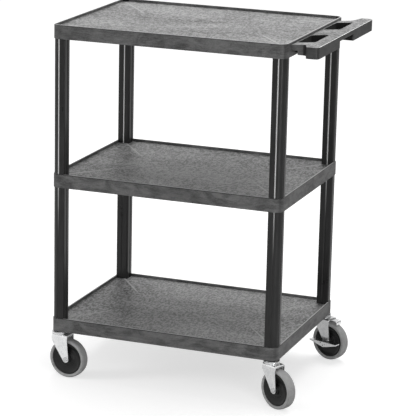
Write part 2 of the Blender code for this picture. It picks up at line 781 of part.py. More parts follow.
def make_hub(name):
    """Moulded hub with a rim, a recessed web and a boss."""
    boss = FORK_GAP / 2 - 2 * CLEARANCE - HUB_FILLET / 2
    rim = HUB_RIM_WIDTH / 2
    web = HUB_WEB_THICKNESS / 2
    outer = hub_radius()
    inner = outer - HUB_RIM_WALL
    bore = BUSH_RADIUS + CLEARANCE
    half = [
        (bore, boss),
        (HUB_BOSS_RADIUS, boss),
        (HUB_BOSS_RADIUS + HUB_FILLET, web),
        (inner - HUB_FILLET, web),
        (inner, rim),
        (outer, rim),
    ]
    mirrored = [(radius, -level) for radius, level in reversed(half)]
    return turned(name, round_profile(half + mirrored), HUB_FACETS, HUB_PLASTIC, facet_phase(), True, ACROSS)


def facet_phase():
    """Turn that puts the middle of a facet, not an edge, at the bottom of the wheel."""
    return math.pi / 2 + math.pi / TYRE_FACETS


def tyre_profile():
    """Section of the tyre, from its seat on the hub round the tread."""
    half = TYRE_WIDTH / 2
    seat = TYRE_RADIUS - TYRE_THICKNESS
    shoulder = arc((TYRE_RADIUS - TYRE_SHOULDER, half - TYRE_SHOULDER), TYRE_SHOULDER, 90, 0, 2)
    upper = [(seat, half)] + shoulder
    lower = [(radius, -level) for radius, level in reversed(upper)]
    return upper + lower


def make_tyre(name):
    """Grey tyre with round shoulders."""
    return turned(name, round_profile(tyre_profile()), TYRE_FACETS, TYRE_RUBBER, facet_phase(), True, ACROSS)


# Brake


def pedal_outline():
    """Front view of the foot wings: a shallow V that rises towards both tips."""
    half = PEDAL_SPAN / 2
    foot = -PEDAL_PLATE_RADIUS
    tip = foot + PEDAL_RISE
    lower = [(-half, tip), (0, foot), (half, tip)]
    upper = [(half, tip + PEDAL_THICKNESS), (0, foot + PEDAL_THICKNESS), (-half, tip + PEDAL_THICKNESS)]
    return lower + upper


def pedal_plan():
    """Plan of the wings, deep in the middle and narrow at the tips."""
    seat = FORK_OUTER + CLEARANCE
    half = PEDAL_SPAN / 2 + CUT_OVERRUN
    return [
        (-half, -seat - PEDAL_TIP_DEPTH),
        (-PEDAL_PLATE_RADIUS, -seat - PEDAL_DEPTH),
        (PEDAL_PLATE_RADIUS, -seat - PEDAL_DEPTH),
        (half, -seat - PEDAL_TIP_DEPTH),
        (half, -seat),
        (-half, -seat),
    ]


def pedal_holes():
    """Outlines of the two small holes in the wings."""
    depth = FORK_OUTER + CLEARANCE + PEDAL_DEPTH / 2
    outlines = []
    for sign in (1, -1):
        centre = (sign * PEDAL_HOLE_SPREAD, -depth)
        outlines.append(arc(centre, PEDAL_HOLE_RADIUS, 0, 360, PIN_FACETS)[:-1])
    return outlines


def make_pedal(name):
    """Rocker pedal: a plate round the axle bolt with two foot wings."""
    seat = FORK_OUTER + CLEARANCE
    wings = prism(name, pedal_outline(), seat, seat + PEDAL_DEPTH + CUT_OVERRUN, ZINC, SIDE_VIEW)
    height = PEDAL_PLATE_RADIUS + PEDAL_RISE
    combine(wings, prism("plan", pedal_plan(), -height, height), "INTERSECT")
    plate = circle(PEDAL_PLATE_RADIUS - PEDAL_THICKNESS / 2, 2 * PIN_FACETS)
    combine(wings, prism("plate", plate, seat, seat + PEDAL_THICKNESS, None, SIDE_VIEW), "UNION")
    cut_shapes(wings, pedal_holes(), -height, 0)
    hole = circle(AXLE_RADIUS + CLEARANCE, PIN_FACETS)
    high = seat + PEDAL_THICKNESS + CUT_OVERRUN
    combine(wings, prism("hole", hole, seat - CUT_OVERRUN, high, None, SIDE_VIEW), "DIFFERENCE")
    return wings


def make_shoe(name):
    """Brake shoe: a strip under the crown that ends in a lip over the tyre."""
    high = CROWN_BOTTOM - CLEARANCE
    low = high - SHOE_THICKNESS
    inner = SHOE_REACH - SHOE_THICKNESS
    lip = low - SHOE_LIP
    outline = [(SHOE_START, low), (inner, low), (inner, lip)]
    outline += [(SHOE_REACH, lip), (SHOE_REACH, high), (SHOE_START, high)]
    half = SHOE_WIDTH / 2
    return prism(name, outline, -half, half, ZINC, SIDE_VIEW)


# Assembly


def empty(name, location, turn=0.0, parent=None):
    """An empty that marks a joint axis."""
    made = bpy.data.objects.new(name, None)
    bpy.context.scene.collection.objects.link(made)
    made.location = location
    made.rotation_euler = (0, 0, turn)
    made.parent = parent
    return made


def under(parent, *pieces):
    """Parents pieces that were modelled in the parent's own frame."""
    for piece in pieces:
        piece.parent = parent


def make_caster(corner, root):
    """One caster: the stem is fixed, the fork swivels and the wheel turns in the fork."""
    sign_x, sign_y, turn, brake = CASTERS[corner]
    x, y = to_corner((SWIVEL_INSET, SWIVEL_INSET), (sign_x, sign_y))
    fixed = empty(f"stem_axis_{corner}", (x, y, 0), 0.0, root)
    under(fixed, make_sleeve(f"caster_sleeve_{corner}"), make_stem(f"caster_stem_{corner}"))
    swivel = empty(f"swivel_axis_{corner}", (x, y, 0), turn, root)
    under(swivel, make_cup(f"race_cup_{corner}"), make_balls(f"race_balls_{corner}"))
    under(swivel, make_fork(f"fork_{corner}"))
    wheel = empty(f"wheel_axis_{corner}", (CASTER_TRAIL, 0, AXLE_HEIGHT), 0.0, swivel)
    under(wheel, make_bolt(f"axle_bolt_{corner}", brake), make_nut(f"axle_nut_{corner}"))
    under(wheel, make_bush(f"bush_{corner}"), make_hub(f"hub_{corner}"), make_tyre(f"tyre_{corner}"))
    if brake:
        under(wheel, make_pedal(f"brake_pedal_{corner}"))
        under(swivel, make_shoe(f"brake_shoe_{corner}"))


def make_tiers(root):
    """The three shelves and the posts between them."""
    undersides = [CASTER_HEIGHT + i * SHELF_SPACING for i in range(3)]
    bottom = make_shelf("bottom_shelf", undersides[0], True, False)
    middle = make_shelf("middle_shelf", undersides[1], True, True)
    top = make_shelf("top_shelf", undersides[2], False, True)
    combine(top, make_handle(undersides[2]), "UNION")
    under(root, bottom, middle, top)
    for tier, underside in (("lower", undersides[0]), ("upper", undersides[1])):
        for corner, (sign_x, sign_y, turn, brake) in CASTERS.items():
            under(root, make_post(f"{tier}_post_{corner}", (sign_x, sign_y), underside))


def centre_on_floor(root):
    """Moves the cart so that the middle of its outline stands over the origin."""
    bpy.context.view_layer.update()
    places = []
    for thing in bpy.data.objects:
        if thing.type == "MESH":
            places += [thing.matrix_world @ vertex.co for vertex in thing.data.vertices]
    for axis in (0, 1):
        values = [place[axis] for place in places]
        root.location[axis] = -(min(values) + max(values)) / 2
    bpy.context.view_layer.update()


def main():
    """Builds the cart."""
    for thing in list(bpy.data.objects):
        bpy.data.objects.remove(thing)
    root = empty("cart", (0, 0, 0))
    make_tiers(root)
    for corner in CASTERS:
        make_caster(corner, root)
    centre_on_floor(root)


main()
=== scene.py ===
"""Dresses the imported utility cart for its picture.

The cart has three moulded shelves on grooved corner posts, a push handle moulded to the top
shelf and four swivel casters, two of them with a rocker brake. Each sub-assembly is a class
that models its pieces with Blender's own tools and gives them their finish. Lengths are in
metres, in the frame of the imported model.
"""

import json
import logging
import math
from dataclasses import dataclass, field
from enum import Enum
from typing import Any, Callable, Dict, List, Optional, Sequence, Tuple, Union

import bmesh
import bpy
from mathutils import Matrix, Vector


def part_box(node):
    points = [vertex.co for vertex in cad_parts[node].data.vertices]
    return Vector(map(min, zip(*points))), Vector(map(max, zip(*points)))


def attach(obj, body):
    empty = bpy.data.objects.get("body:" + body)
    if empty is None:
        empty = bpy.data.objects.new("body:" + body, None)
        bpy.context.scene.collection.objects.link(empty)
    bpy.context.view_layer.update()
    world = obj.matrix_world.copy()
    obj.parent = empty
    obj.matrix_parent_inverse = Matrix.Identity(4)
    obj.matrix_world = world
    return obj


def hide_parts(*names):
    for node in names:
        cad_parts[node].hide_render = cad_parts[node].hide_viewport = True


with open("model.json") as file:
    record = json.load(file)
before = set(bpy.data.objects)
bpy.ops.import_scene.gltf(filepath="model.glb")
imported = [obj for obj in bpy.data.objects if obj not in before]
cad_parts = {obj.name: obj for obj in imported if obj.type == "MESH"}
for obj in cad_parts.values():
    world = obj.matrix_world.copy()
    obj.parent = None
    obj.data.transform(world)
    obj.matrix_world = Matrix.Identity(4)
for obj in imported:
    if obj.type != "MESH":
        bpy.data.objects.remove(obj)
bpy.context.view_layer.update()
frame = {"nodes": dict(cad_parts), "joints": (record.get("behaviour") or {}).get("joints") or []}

LOG = logging.getLogger("utility_cart")
ACROSS = Matrix.Rotation(math.radians(-90), 4, "X")
OVERCUT = 0.01
NEAR = 1e-4
TOUCH = 1e-5
EVEN = (0.3, 0.7)

Box = Tuple[Vector, Vector]
Edge = bmesh.types.BMEdge
Layers = Tuple[Tuple["Mottle", float], ...]
Look = bpy.types.Material
Place = Tuple[float, float, float]
Point = Tuple[float, float]
Profile = Tuple[Point, ...]
Thing = bpy.types.Object
Value = Union["Wire", float, int]


class Corner(Enum):
    """The cart's four corners, as signs along X and Y."""

    FRONT_LEFT = (-1, -1)
    FRONT_RIGHT = (1, -1)
    BACK_LEFT = (-1, 1)
    BACK_RIGHT = (1, 1)

    @property
    def word(self) -> str:
        """The corner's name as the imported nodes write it."""
        return self.name.lower()

    @property
    def braked(self) -> bool:
        """Only the casters at the back have a brake."""
        return self.value[1] > 0

    @property
    def quarter_turns(self) -> int:
        """Quarter turns from the front right corner, anticlockwise."""
        order = (Corner.FRONT_RIGHT, Corner.BACK_RIGHT, Corner.BACK_LEFT, Corner.FRONT_LEFT)
        return order.index(self)

    def inside(self, box: Box, step_x: float, step_y: float) -> Point:
        """This corner of a box in plan, moved inwards by two steps."""
        face_x, face_y = (box[1][i] if self.value[i] > 0 else box[0][i] for i in (0, 1))
        return face_x - self.value[0] * step_x, face_y - self.value[1] * step_y


class Slot(Enum):
    """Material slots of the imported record."""

    SHELF = "charcoal_plastic"
    POST = "post_plastic"
    HUB = "hub_plastic"
    SLEEVE = "sleeve_plastic"
    TYRE = "grey_rubber"
    ZINC = "zinc_plate"
    STEEL = "bright_steel"


def middle_of(node: str) -> Vector:
    """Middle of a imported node's box."""
    return sum(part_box(node), Vector()) / 2


# Shader maths


class Wire:
    """A node's output that takes part in Python arithmetic."""

    def __init__(self, board: "Board", socket: bpy.types.NodeSocket) -> None:
        """Keeps the socket and the board that it is on."""
        self.board = board
        self.socket = socket

    def join(self, operation: str, first: Value, second: Value) -> "Wire":
        """Adds a Math node for two values."""
        return self.board.node("ShaderNodeMath", {"operation": operation}, {0: first, 1: second})

    def __add__(self, other: Value) -> "Wire":
        """Sum."""
        return self.join("ADD", self, other)

    def __radd__(self, other: Value) -> "Wire":
        """Sum with the wire on the right."""
        return self.join("ADD", other, self)

    def __sub__(self, other: Value) -> "Wire":
        """Difference."""
        return self.join("SUBTRACT", self, other)

    def __rsub__(self, other: Value) -> "Wire":
        """Difference with the wire on the right."""
        return self.join("SUBTRACT", other, self)

    def __mul__(self, other: Value) -> "Wire":
        """Product."""
        return self.join("MULTIPLY", self, other)

    def __rmul__(self, other: Value) -> "Wire":
        """Product with the wire on the right."""
        return self.join("MULTIPLY", other, self)

    def __mod__(self, other: Value) -> "Wire":
        """What is left over whole steps, never below zero."""
        return self.join("FLOORED_MODULO", self, other)

    def __gt__(self, other: Value) -> "Wire":
        """One where the wire is greater, else zero."""
        return self.join("GREATER_THAN", self, other)

    def __lt__(self, other: Value) -> "Wire":
        """One where the wire is less, else zero."""
        return self.join("LESS_THAN", self, other)

    def size(self) -> "Wire":
        """The wire without its sign."""
        return self.join("ABSOLUTE", self, 0.0)

    def peak(self, other: Value) -> "Wire":
        """The greater of two values."""
        return self.join("MAXIMUM", self, other)

    def mean(self, other: "Wire") -> "Wire":
        """Halfway between two wires."""
        return self * 0.5 + other * 0.5

    def toward(self, goal: float, share: "Wire") -> "Wire":
        """Moves the wire towards a goal by a share."""
        return self + share * (goal - self)

    def ramp(self, low: float, high: float, start: float = 0.0, end: float = 1.0) -> "Wire":
        """Maps a range smoothly onto another and clamps it.

        Args:
            low: Value that gives start.
            high: Value that gives end.
            start: Lower result.
            end: Upper result.

        Returns:
            The mapped wire.
        """
        sockets = {0: self, 1: low, 2: high, 3: start, 4: end}
        settings = {"interpolation_type": "SMOOTHSTEP", "clamp": True}
        return self.board.node("ShaderNodeMapRange", settings, sockets)


class Board:
    """The node tree of one material or of the world."""

    def __init__(self, owner: Union[Look, bpy.types.World]) -> None:
        """Empties the node tree.

        Args:
            owner: The material or the world.
        """
        self.owner = owner
        owner.use_nodes = True
        self.tree = owner.node_tree
        self.tree.nodes.clear()

    @classmethod
    def named(cls, name: str) -> "Board":
        """The board of a new material."""
        return cls(bpy.data.materials.new(name))

    def add(self, kind: str, settings: Dict[str, Any], sockets: Dict[Any, Any]) -> bpy.types.Node:
        """Adds a node, sets it up and feeds it.

        Args:
            kind: The node's type.
            settings: Its properties, set before its sockets.
            sockets: Values or wires by the input's name or number.

        Returns:
            The node.
        """
        made = self.tree.nodes.new(kind)
        for key, value in settings.items():
            setattr(made, key, value)
        for key, value in sockets.items():
            if isinstance(value, Wire):
                self.tree.links.new(value.socket, made.inputs[key])
            else:
                made.inputs[key].default_value = value
        return made

    def node(
        self, kind: str, settings: Dict[str, Any], sockets: Dict[Any, Any], output: Union[int, str] = 0
    ) -> Wire:
        """Adds a node and gives one of its outputs as a wire."""
        return Wire(self, self.add(kind, settings, sockets).outputs[output])

    def coordinates(self, kind: str = "Object") -> Wire:
        """A place in the object's own frame, or another output of Texture Coordinate."""
        return self.node("ShaderNodeTexCoord", {}, {}, kind)

    def blend(self, share: Value, first: Any, second: Any) -> Wire:
        """Mixes two colours by a share."""
        return self.node("ShaderNodeMix", {"data_type": "RGBA"}, {0: share, 6: first, 7: second}, 2)

    def shade(self, share: Value, dark: float, light: float) -> Wire:
        """A grey between a dark and a light level."""
        return self.blend(share, grey(dark), grey(light))

    def parts(self, arrow: Wire) -> List[Wire]:
        """The three parts of a vector."""
        split = self.add("ShaderNodeSeparateXYZ", {}, {0: arrow})
        return [Wire(self, output) for output in split.outputs]

    def normal(self) -> List[Wire]:
        """The three parts of the surface's normal."""
        return self.parts(self.node("ShaderNodeNewGeometry", {}, {}, "Normal"))

    def depth_in(self) -> Tuple[Wire, Wire]:
        """How far a place lies inwards of the shelves' ends and long sides.

        Returns:
            The two distances, less than zero outside.
        """
        low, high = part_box("middle_shelf")
        centre, half = (low + high) / 2, (high - low) / 2
        x, y = self.parts(self.coordinates())[:2]
        return half.x - (x - centre.x).size(), half.y - (y - centre.y).size()

    def layers(self, stack: Layers) -> Wire:
        """Layers of noise added up, each by its share."""
        drawn = [mottle.on(self) * share for mottle, share in stack]
        return sum(drawn[1:], drawn[0])

    def rays(self) -> List[Wire]:
        """One for camera rays, for mirrored rays and for rays let through, else zero."""
        path = self.add("ShaderNodeLightPath", {}, {})
        return [Wire(self, path.outputs[f"Is {kind} Ray"]) for kind in ("Camera", "Glossy", "Transmission")]

    def bump(self, height: Wire, relief: Point, under: Optional[Wire] = None) -> Wire:
        """Turns a height into a bumpy normal.

        Args:
            height: The height, from 0 to 1.
            relief: Distance and strength of the bump.
            under: Another bump that it lies on.

        Returns:
            The normal.
        """
        sockets: Dict[str, Any] = {"Height": height, "Distance": relief[0], "Strength": relief[1]}
        if under:
            sockets["Normal"] = under
        return self.node("ShaderNodeBump", {}, sockets)

    def finish(self, sockets: Dict[str, Any]) -> Look:
        """Closes the tree of a material with a Principled shader.

        Args:
            sockets: Values or wires for the shader.

        Returns:
            The material.
        """
        shader = self.node("ShaderNodeBsdfPrincipled", {}, sockets)
        self.add("ShaderNodeOutputMaterial", {}, {0: shader})
        return self.owner


def grey(level: float, warmth: float = 0.0) -> Tuple[float, float, float, float]:
    """A grey of one level, warmed or cooled a little."""
    return (level * (1 + warmth), level, level * (1 - warmth), 1.0)


# Finishes


@dataclass(frozen=True)
class Mottle:
    """A layer of noise: its scale and make-up, its stretch along the axes and its contrast."""

    scale: float
    detail: float = 3.0
    rough: float = 0.6
    warp: float = 0.0
    stretch: Place = (1, 1, 1)
    contrast: Optional[Point] = None

    def on(self, board: Board) -> Wire:
        """Draws the layer over the object's own frame.

        Args:
            board: The material's node tree.

        Returns:
            The layer, from 0 to 1.
        """
        sockets = {"Vector": board.coordinates(), "Scale": self.stretch}
        place = board.node("ShaderNodeMapping", {}, sockets)
        sockets = {"Vector": place, "Scale": self.scale, "Detail": self.detail}
        sockets.update({"Roughness": self.rough, "Distortion": self.warp})
        layer = board.node("ShaderNodeTexNoise", {}, sockets)
        return layer.ramp(*self.contrast) if self.contrast else layer


@dataclass(frozen=True)
class ShelfMasks:
    """Where the parts of a shelf's skin lie, each from 0 to 1."""

    up: Wire
    rounded: Wire
    corner: Wire
    lip: Wire
    hidden: Wire
    bar: Wire
    bar_edge: Wire
    hips: Wire


@dataclass(frozen=True)
class FoamPlastic:
    """Charcoal structural foam: hazy walls, mottled decks painted lighter as sheen, painted highlights on the
    lip tops and the bar's top edge, and painted shade on rounded rims, corners, the bar and recesses.
    """

    # painted shade: dark level for rounded rims, corners and the bar, standing in for the dark reflections of
    # smooth roundings
    rim: float = 0.011
    # painted highlight: pale colour on the lip tops, standing in for the light they catch
    lip: float = 0.42
    wall_dark: float = 0.030
    wall_light: float = 0.150
    # decks: grain mottle between two levels, the light one raised as painted sheen
    deck_dark: float = 0.008
    deck_light: float = 0.340
    # painted shade: colour of the inner lip walls and the handle's hollows
    inside: float = 0.010
    # painted highlight along the handle bar's outer top edge
    polish: float = 0.85
    corner_share: float = 0.38
    bar_share: float = 0.72
    gloss: float = 0.36
    rim_roughness: float = 0.30
    wall_roughness: float = 0.55
    deck_roughness: float = 0.46
    corner_polish: float = 0.9

    lip_width: float = 0.0047
    lip_height: float = 0.0072
    cut_corner: float = 0.0162
    seam: float = 0.0004
    bar_start: float = 0.030
    bar_reach: float = 0.0782
    hollow_reach: float = 0.0765
    hollow_half: float = 0.185

    looks_up: Point = (0.6, 0.9)
    edge_slope: Point = (0.3, 0.6)
    leaves_wall: Point = (0.10, 0.35)
    meets_deck: Point = (0.90, 0.99)
    turns_corner: Point = (0.72, 1.0)
    leaves_level: Point = (0.05, 0.3)

    hip_angle: float = 52.0
    hip_share: float = 1.1
    hip_line: Point = (0.0015, 0.0050)
    hip_start: Point = (0.012, 0.035)
    hip_end: Point = (0.09, 0.18)
    waver: Mottle = Mottle(14.0, 2.0, 0.5)
    waver_width: float = 0.003

    haze: Layers = (
        (Mottle(13.0, 6.0, 0.62, 1.2, (1.0, 1.0, 2.0), (0.36, 0.64)), 0.5),
        (Mottle(48.0, 4.0, 0.6, 0.8, (1.0, 1.0, 5.0), (0.34, 0.66)), 0.3),
        (Mottle(330.0, contrast=EVEN), 0.2),
    )
    grain: Layers = (
        (Mottle(175.0, 3.0, 0.8, stretch=(1.0, 0.6, 1.0), contrast=(0.43, 0.57)), 0.56),
        (Mottle(60.0, 3.0, 0.6, 0.5, contrast=(0.34, 0.66)), 0.16),
        (Mottle(4.5, 3.0, 0.5, 0.4, (0.7, 1.6, 1.0), (0.34, 0.66)), 0.28),
    )
    skin: Mottle = Mottle(85.0, 5.0)
    fine: Mottle = Mottle(560.0)
    pebbles: Mottle = Mottle(175.0, 3.0, 0.7, stretch=(1.0, 0.6, 1.0))
    fine_share: float = 0.2
    pebble_share: float = 3.2
    skin_relief: Point = (0.0005, 0.25)
    hip_relief: Point = (0.0008, 0.4)
    grain_relief: Point = (0.0003, 0.8)

    def near_rim(self, board: Board) -> Wire:
        """One at the height of the lips, above each shelf's deck.

        Args:
            board: The material's node tree.

        Returns:
            The mask, which repeats at the spacing of the shelves.
        """
        rims = [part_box(f"{word}_shelf")[1].z for word in ("bottom", "middle")]
        height = board.parts(board.coordinates())[2] - (rims[0] - self.lip_height)
        return (height % (rims[1] - rims[0])) < self.lip_height

    def hips(self, board: Board, from_end: Wire, from_side: Wire) -> Wire:
        """Faint creases that run in from the corners of the decks.

        Args:
            board: The material's node tree.
            from_end: Distance inwards from the shelf's end.
            from_side: Distance inwards from its long side.

        Returns:
            One on the creases, else zero.
        """
        lean = math.radians(self.hip_angle)
        off = (from_side * math.cos(lean) - from_end * math.sin(lean)).size()
        line = 1 - (off + self.waver.on(board) * self.waver_width).ramp(*self.hip_line)
        return line * from_side.ramp(*self.hip_start) * (1 - from_side.ramp(*self.hip_end))

    def masks(self, board: Board) -> ShelfMasks:
        """Finds the parts of the skin by their place and by where they face.

        Args:
            board: The material's node tree.

        Returns:
            The masks.
        """
        low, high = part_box("middle_shelf")
        normal = board.normal()
        across = normal[0].size().peak(normal[1].size())
        tilt = normal[2].size()
        up = normal[2].ramp(*self.looks_up)
        from_end, from_side = board.depth_in()
        on_shelf = from_end > -self.seam
        within = (from_end > self.lip_width) * (from_side > self.lip_width)
        within = within * (from_end + from_side > self.cut_corner)
        in_handle = (1 - on_shelf) * (from_end > -self.hollow_reach)
        in_handle = in_handle * (from_side > (high.y - low.y) / 2 - self.hollow_half)
        return ShelfMasks(
            up=up,
            rounded=tilt.ramp(*self.leaves_wall) * (1 - tilt.ramp(*self.meets_deck)),
            corner=(1 - across.ramp(*self.turns_corner)) * (1 - tilt.ramp(*self.leaves_level)),
            # the lip tops, which carry a painted highlight
            lip=up * on_shelf * (1 - within),
            hidden=(within * self.near_rim(board)).peak(in_handle) * (1 - up),
            bar=from_end < -self.bar_start,
            bar_edge=(from_end < -self.bar_reach) * normal[2].ramp(*self.edge_slope),
            hips=self.hips(board, from_end, from_side),
        )

    def build(self) -> Look:
        """Makes the material.

        Returns:
            The material, with its masks for walls, decks, lips, rims and the handle's hollows.
        """
        board = Board.named(Slot.SHELF.value)
        at = self.masks(board)
        wall = board.shade(board.layers(self.haze), self.wall_dark, self.wall_light)
        # painted shade on the rounded vertical corners
        wall = board.blend(at.corner * self.corner_share, wall, grey(self.rim))
        # painted shade on the handle bar's walls
        wall = board.blend(at.bar * self.bar_share, wall, grey(self.rim))
        # painted shade on the inner lip walls and in the handle's hollows
        wall = board.blend(at.hidden, wall, grey(self.inside))
        # painted sheen: the hip creases lighten the deck; their bump below is real relief
        mottled = board.layers(self.grain) + at.hips * self.hip_share
        # decks: grain mottle painted lighter than the walls as sheen
        deck = board.blend(at.lip, board.shade(mottled, self.deck_dark, self.deck_light), grey(self.lip))
        # painted shade: the rounded rims take the dark level
        colour = board.blend(at.rounded, board.blend(at.up, wall, deck), grey(self.rim))
        # painted highlight on the bar's outer top edge
        colour = board.blend(at.bar_edge, colour, grey(self.polish))
        pebbles = self.pebbles.on(board) * at.up * (1 - at.lip) * self.pebble_share
        relief = board.bump(self.skin.on(board), self.skin_relief)
        relief = board.bump(at.hips * at.up, self.hip_relief, relief)
        relief = board.bump(self.fine.on(board) * self.fine_share + pebbles, self.grain_relief, relief)
        rough = at.up * (self.deck_roughness - self.wall_roughness) + self.wall_roughness
        rough = rough.toward(self.rim_roughness, at.rounded.peak(at.corner * self.corner_polish))
        rough = rough.toward(1.0, at.hidden)
        sockets = {"Base Color": colour, "Roughness": rough, "Normal": relief}
        return board.finish({**sockets, "Specular IOR Level": self.gloss})


@dataclass(frozen=True)
class PostPlastic:
    """Smooth dark extrusion, streaked along it, with a painted highlight in the grooves of the long sides."""

    dark: float = 0.009
    light: float = 0.022
    # painted highlight: pale colour in the grooves, standing in for the light they reflect
    groove: float = 0.60
    groove_levels: Point = (0.36, 0.58)
    groove_place: float = 0.0187
    groove_reach: Point = (0.0008, 0.0019)
    looks_out: Point = (0.5, 0.6)
    streak: Mottle = Mottle(420.0, stretch=(1.0, 1.0, 0.05), contrast=EVEN)
    cloud: Mottle = Mottle(22.0, 4.0, 0.6, 0.6, (1.0, 1.0, 0.4), EVEN)
    streak_share: float = 0.4
    cloud_share: float = 0.6
    skin: Mottle = Mottle(380.0)
    relief: Point = (0.00012, 0.5)
    roughness: float = 0.27
    unevenness: float = 0.10
    gloss: float = 0.28

    def in_groove(self, board: Board) -> Wire:
        """Finds the grooves that face the front or the back, for their painted highlight.

        Args:
            board: The material's node tree.

        Returns:
            One on the painted highlight in those grooves, fading below the middle shelf.
        """
        off = (board.depth_in()[0] - self.groove_place).size()
        level = board.parts(board.coordinates())[2].ramp(*self.groove_levels)
        outwards = board.normal()[1].size().ramp(*self.looks_out)
        return (1 - off.ramp(*self.groove_reach)) * outwards * level

    def build(self) -> Look:
        """Makes the material.

        Returns:
            The material.
        """
        board = Board.named(Slot.POST.value)
        streak, cloud = self.streak.on(board), self.cloud.on(board)
        colour = board.shade(streak * self.streak_share + cloud * self.cloud_share, self.dark, self.light)
        # painted highlight in the grooves of the long sides
        colour = board.blend(self.in_groove(board), colour, grey(self.groove))
        normal = board.bump(self.skin.on(board).mean(streak), self.relief)
        rough = cloud * self.unevenness + self.roughness
        sockets = {"Base Color": colour, "Roughness": rough, "Normal": normal}
        return board.finish({**sockets, "Specular IOR Level": self.gloss})


@dataclass(frozen=True)
class BlackMoulding:
    """Near-black moulding of the hubs and the sleeves."""

    slot: Slot
    dark: float
    light: float
    roughness: float
    gloss: float = 0.28
    cloud: Mottle = Mottle(60.0, 4.0, contrast=EVEN)
    skin: Mottle = Mottle(520.0)
    relief: Point = (0.00015, 0.5)
    unevenness: float = 0.1

    def build(self) -> Look:
        """Makes the material.

        Returns:
            The material.
        """
        board = Board.named(self.slot.value)
        cloud = self.cloud.on(board)
        rough = cloud * self.unevenness + self.roughness
        sockets = {"Base Color": board.shade(cloud, self.dark, self.light), "Roughness": rough}
        sockets["Normal"] = board.bump(self.skin.on(board), self.relief)
        return board.finish({**sockets, "Specular IOR Level": self.gloss})


@dataclass(frozen=True)
class GreyTyre:
    """Matte grey rubber with faint scuffs."""

    dark: float = 0.27
    light: float = 0.40
    roughness: float = 0.70
    scuff: Mottle = Mottle(130.0, 5.0, 0.65, 0.8, contrast=EVEN)
    cloud: Mottle = Mottle(28.0, 3.0, 0.5, contrast=EVEN)
    grain: Mottle = Mottle(900.0)
    relief: Point = (0.0002, 0.6)
    unevenness: float = 0.12

    def build(self) -> Look:
        """Makes the material.

        Returns:
            The material.
        """
        board = Board.named(Slot.TYRE.value)
        scuff = self.scuff.on(board)
        colour = board.shade(scuff.mean(self.cloud.on(board)), self.dark, self.light)
        normal = board.bump(self.grain.on(board).mean(scuff), self.relief)
        rough = scuff * self.unevenness + self.roughness
        return board.finish({"Base Color": colour, "Roughness": rough, "Normal": normal})


@dataclass(frozen=True)
class BrightMetal:
    """Plated or plain steel with a faint cloud and fine scratches, and painted shade that darkens its edges
    where they slant from the view.
    """

    slot: Slot
    dark: float
    light: float
    roughness: float = 0.22
    # painted shade: dark level of the edges that slant from the view
    outline: float = 0.10
    outline_slant: Point = (0.58, 0.88)
    coolness: float = 0.01
    cloud: Mottle = Mottle(95.0, 5.0, 0.65, 0.5, contrast=EVEN)
    scratch: Mottle = Mottle(900.0, stretch=(1.0, 1.0, 0.06), contrast=(0.4, 0.7))
    relief: Point = (0.0001, 0.35)
    unevenness: float = 0.10

    def build(self) -> Look:
        """Makes the material.

        Returns:
            The material.
        """
        board = Board.named(self.slot.value)
        facing = board.node("ShaderNodeLayerWeight", {}, {"Blend": 0.5}, "Facing")
        cloud, scratch = self.cloud.on(board), self.scratch.on(board)
        colour = board.blend(cloud, grey(self.dark, -self.coolness), grey(self.light))
        # painted shade on edges that slant from the view
        colour = board.blend(facing.ramp(*self.outline_slant), colour, grey(self.outline))
        normal = board.bump(scratch.mean(cloud), self.relief)
        rough = scratch * self.unevenness + self.roughness
        return board.finish({"Base Color": colour, "Metallic": 1.0, "Roughness": rough, "Normal": normal})


def finishes() -> Dict[Slot, Look]:
    """Makes every finish once.

    Returns:
        The material of each slot.
    """
    return {
        Slot.SHELF: FoamPlastic().build(),
        Slot.POST: PostPlastic().build(),
        Slot.HUB: BlackMoulding(Slot.HUB, dark=0.003, light=0.008, roughness=0.32, gloss=0.36).build(),
        Slot.SLEEVE: BlackMoulding(Slot.SLEEVE, dark=0.012, light=0.024, roughness=0.5).build(),
        Slot.TYRE: GreyTyre().build(),
        Slot.ZINC: BrightMetal(Slot.ZINC, dark=0.84, light=0.97).build(),
        Slot.STEEL: BrightMetal(Slot.STEEL, dark=0.58, light=0.72).build(),
    }


# Modelling by hand


def is_upright(edge: Edge) -> bool:
    """Says whether an edge stands on end."""
    return abs(edge.verts[0].co.z - edge.verts[1].co.z) > NEAR


def stands_at(edge: Edge, corners: Sequence[Point]) -> bool:
    """Says whether an upright edge stands at one of these corners."""
    foot = edge.verts[0].co
    return is_upright(edge) and any(math.hypot(foot.x - x, foot.y - y) < NEAR for x, y in corners)


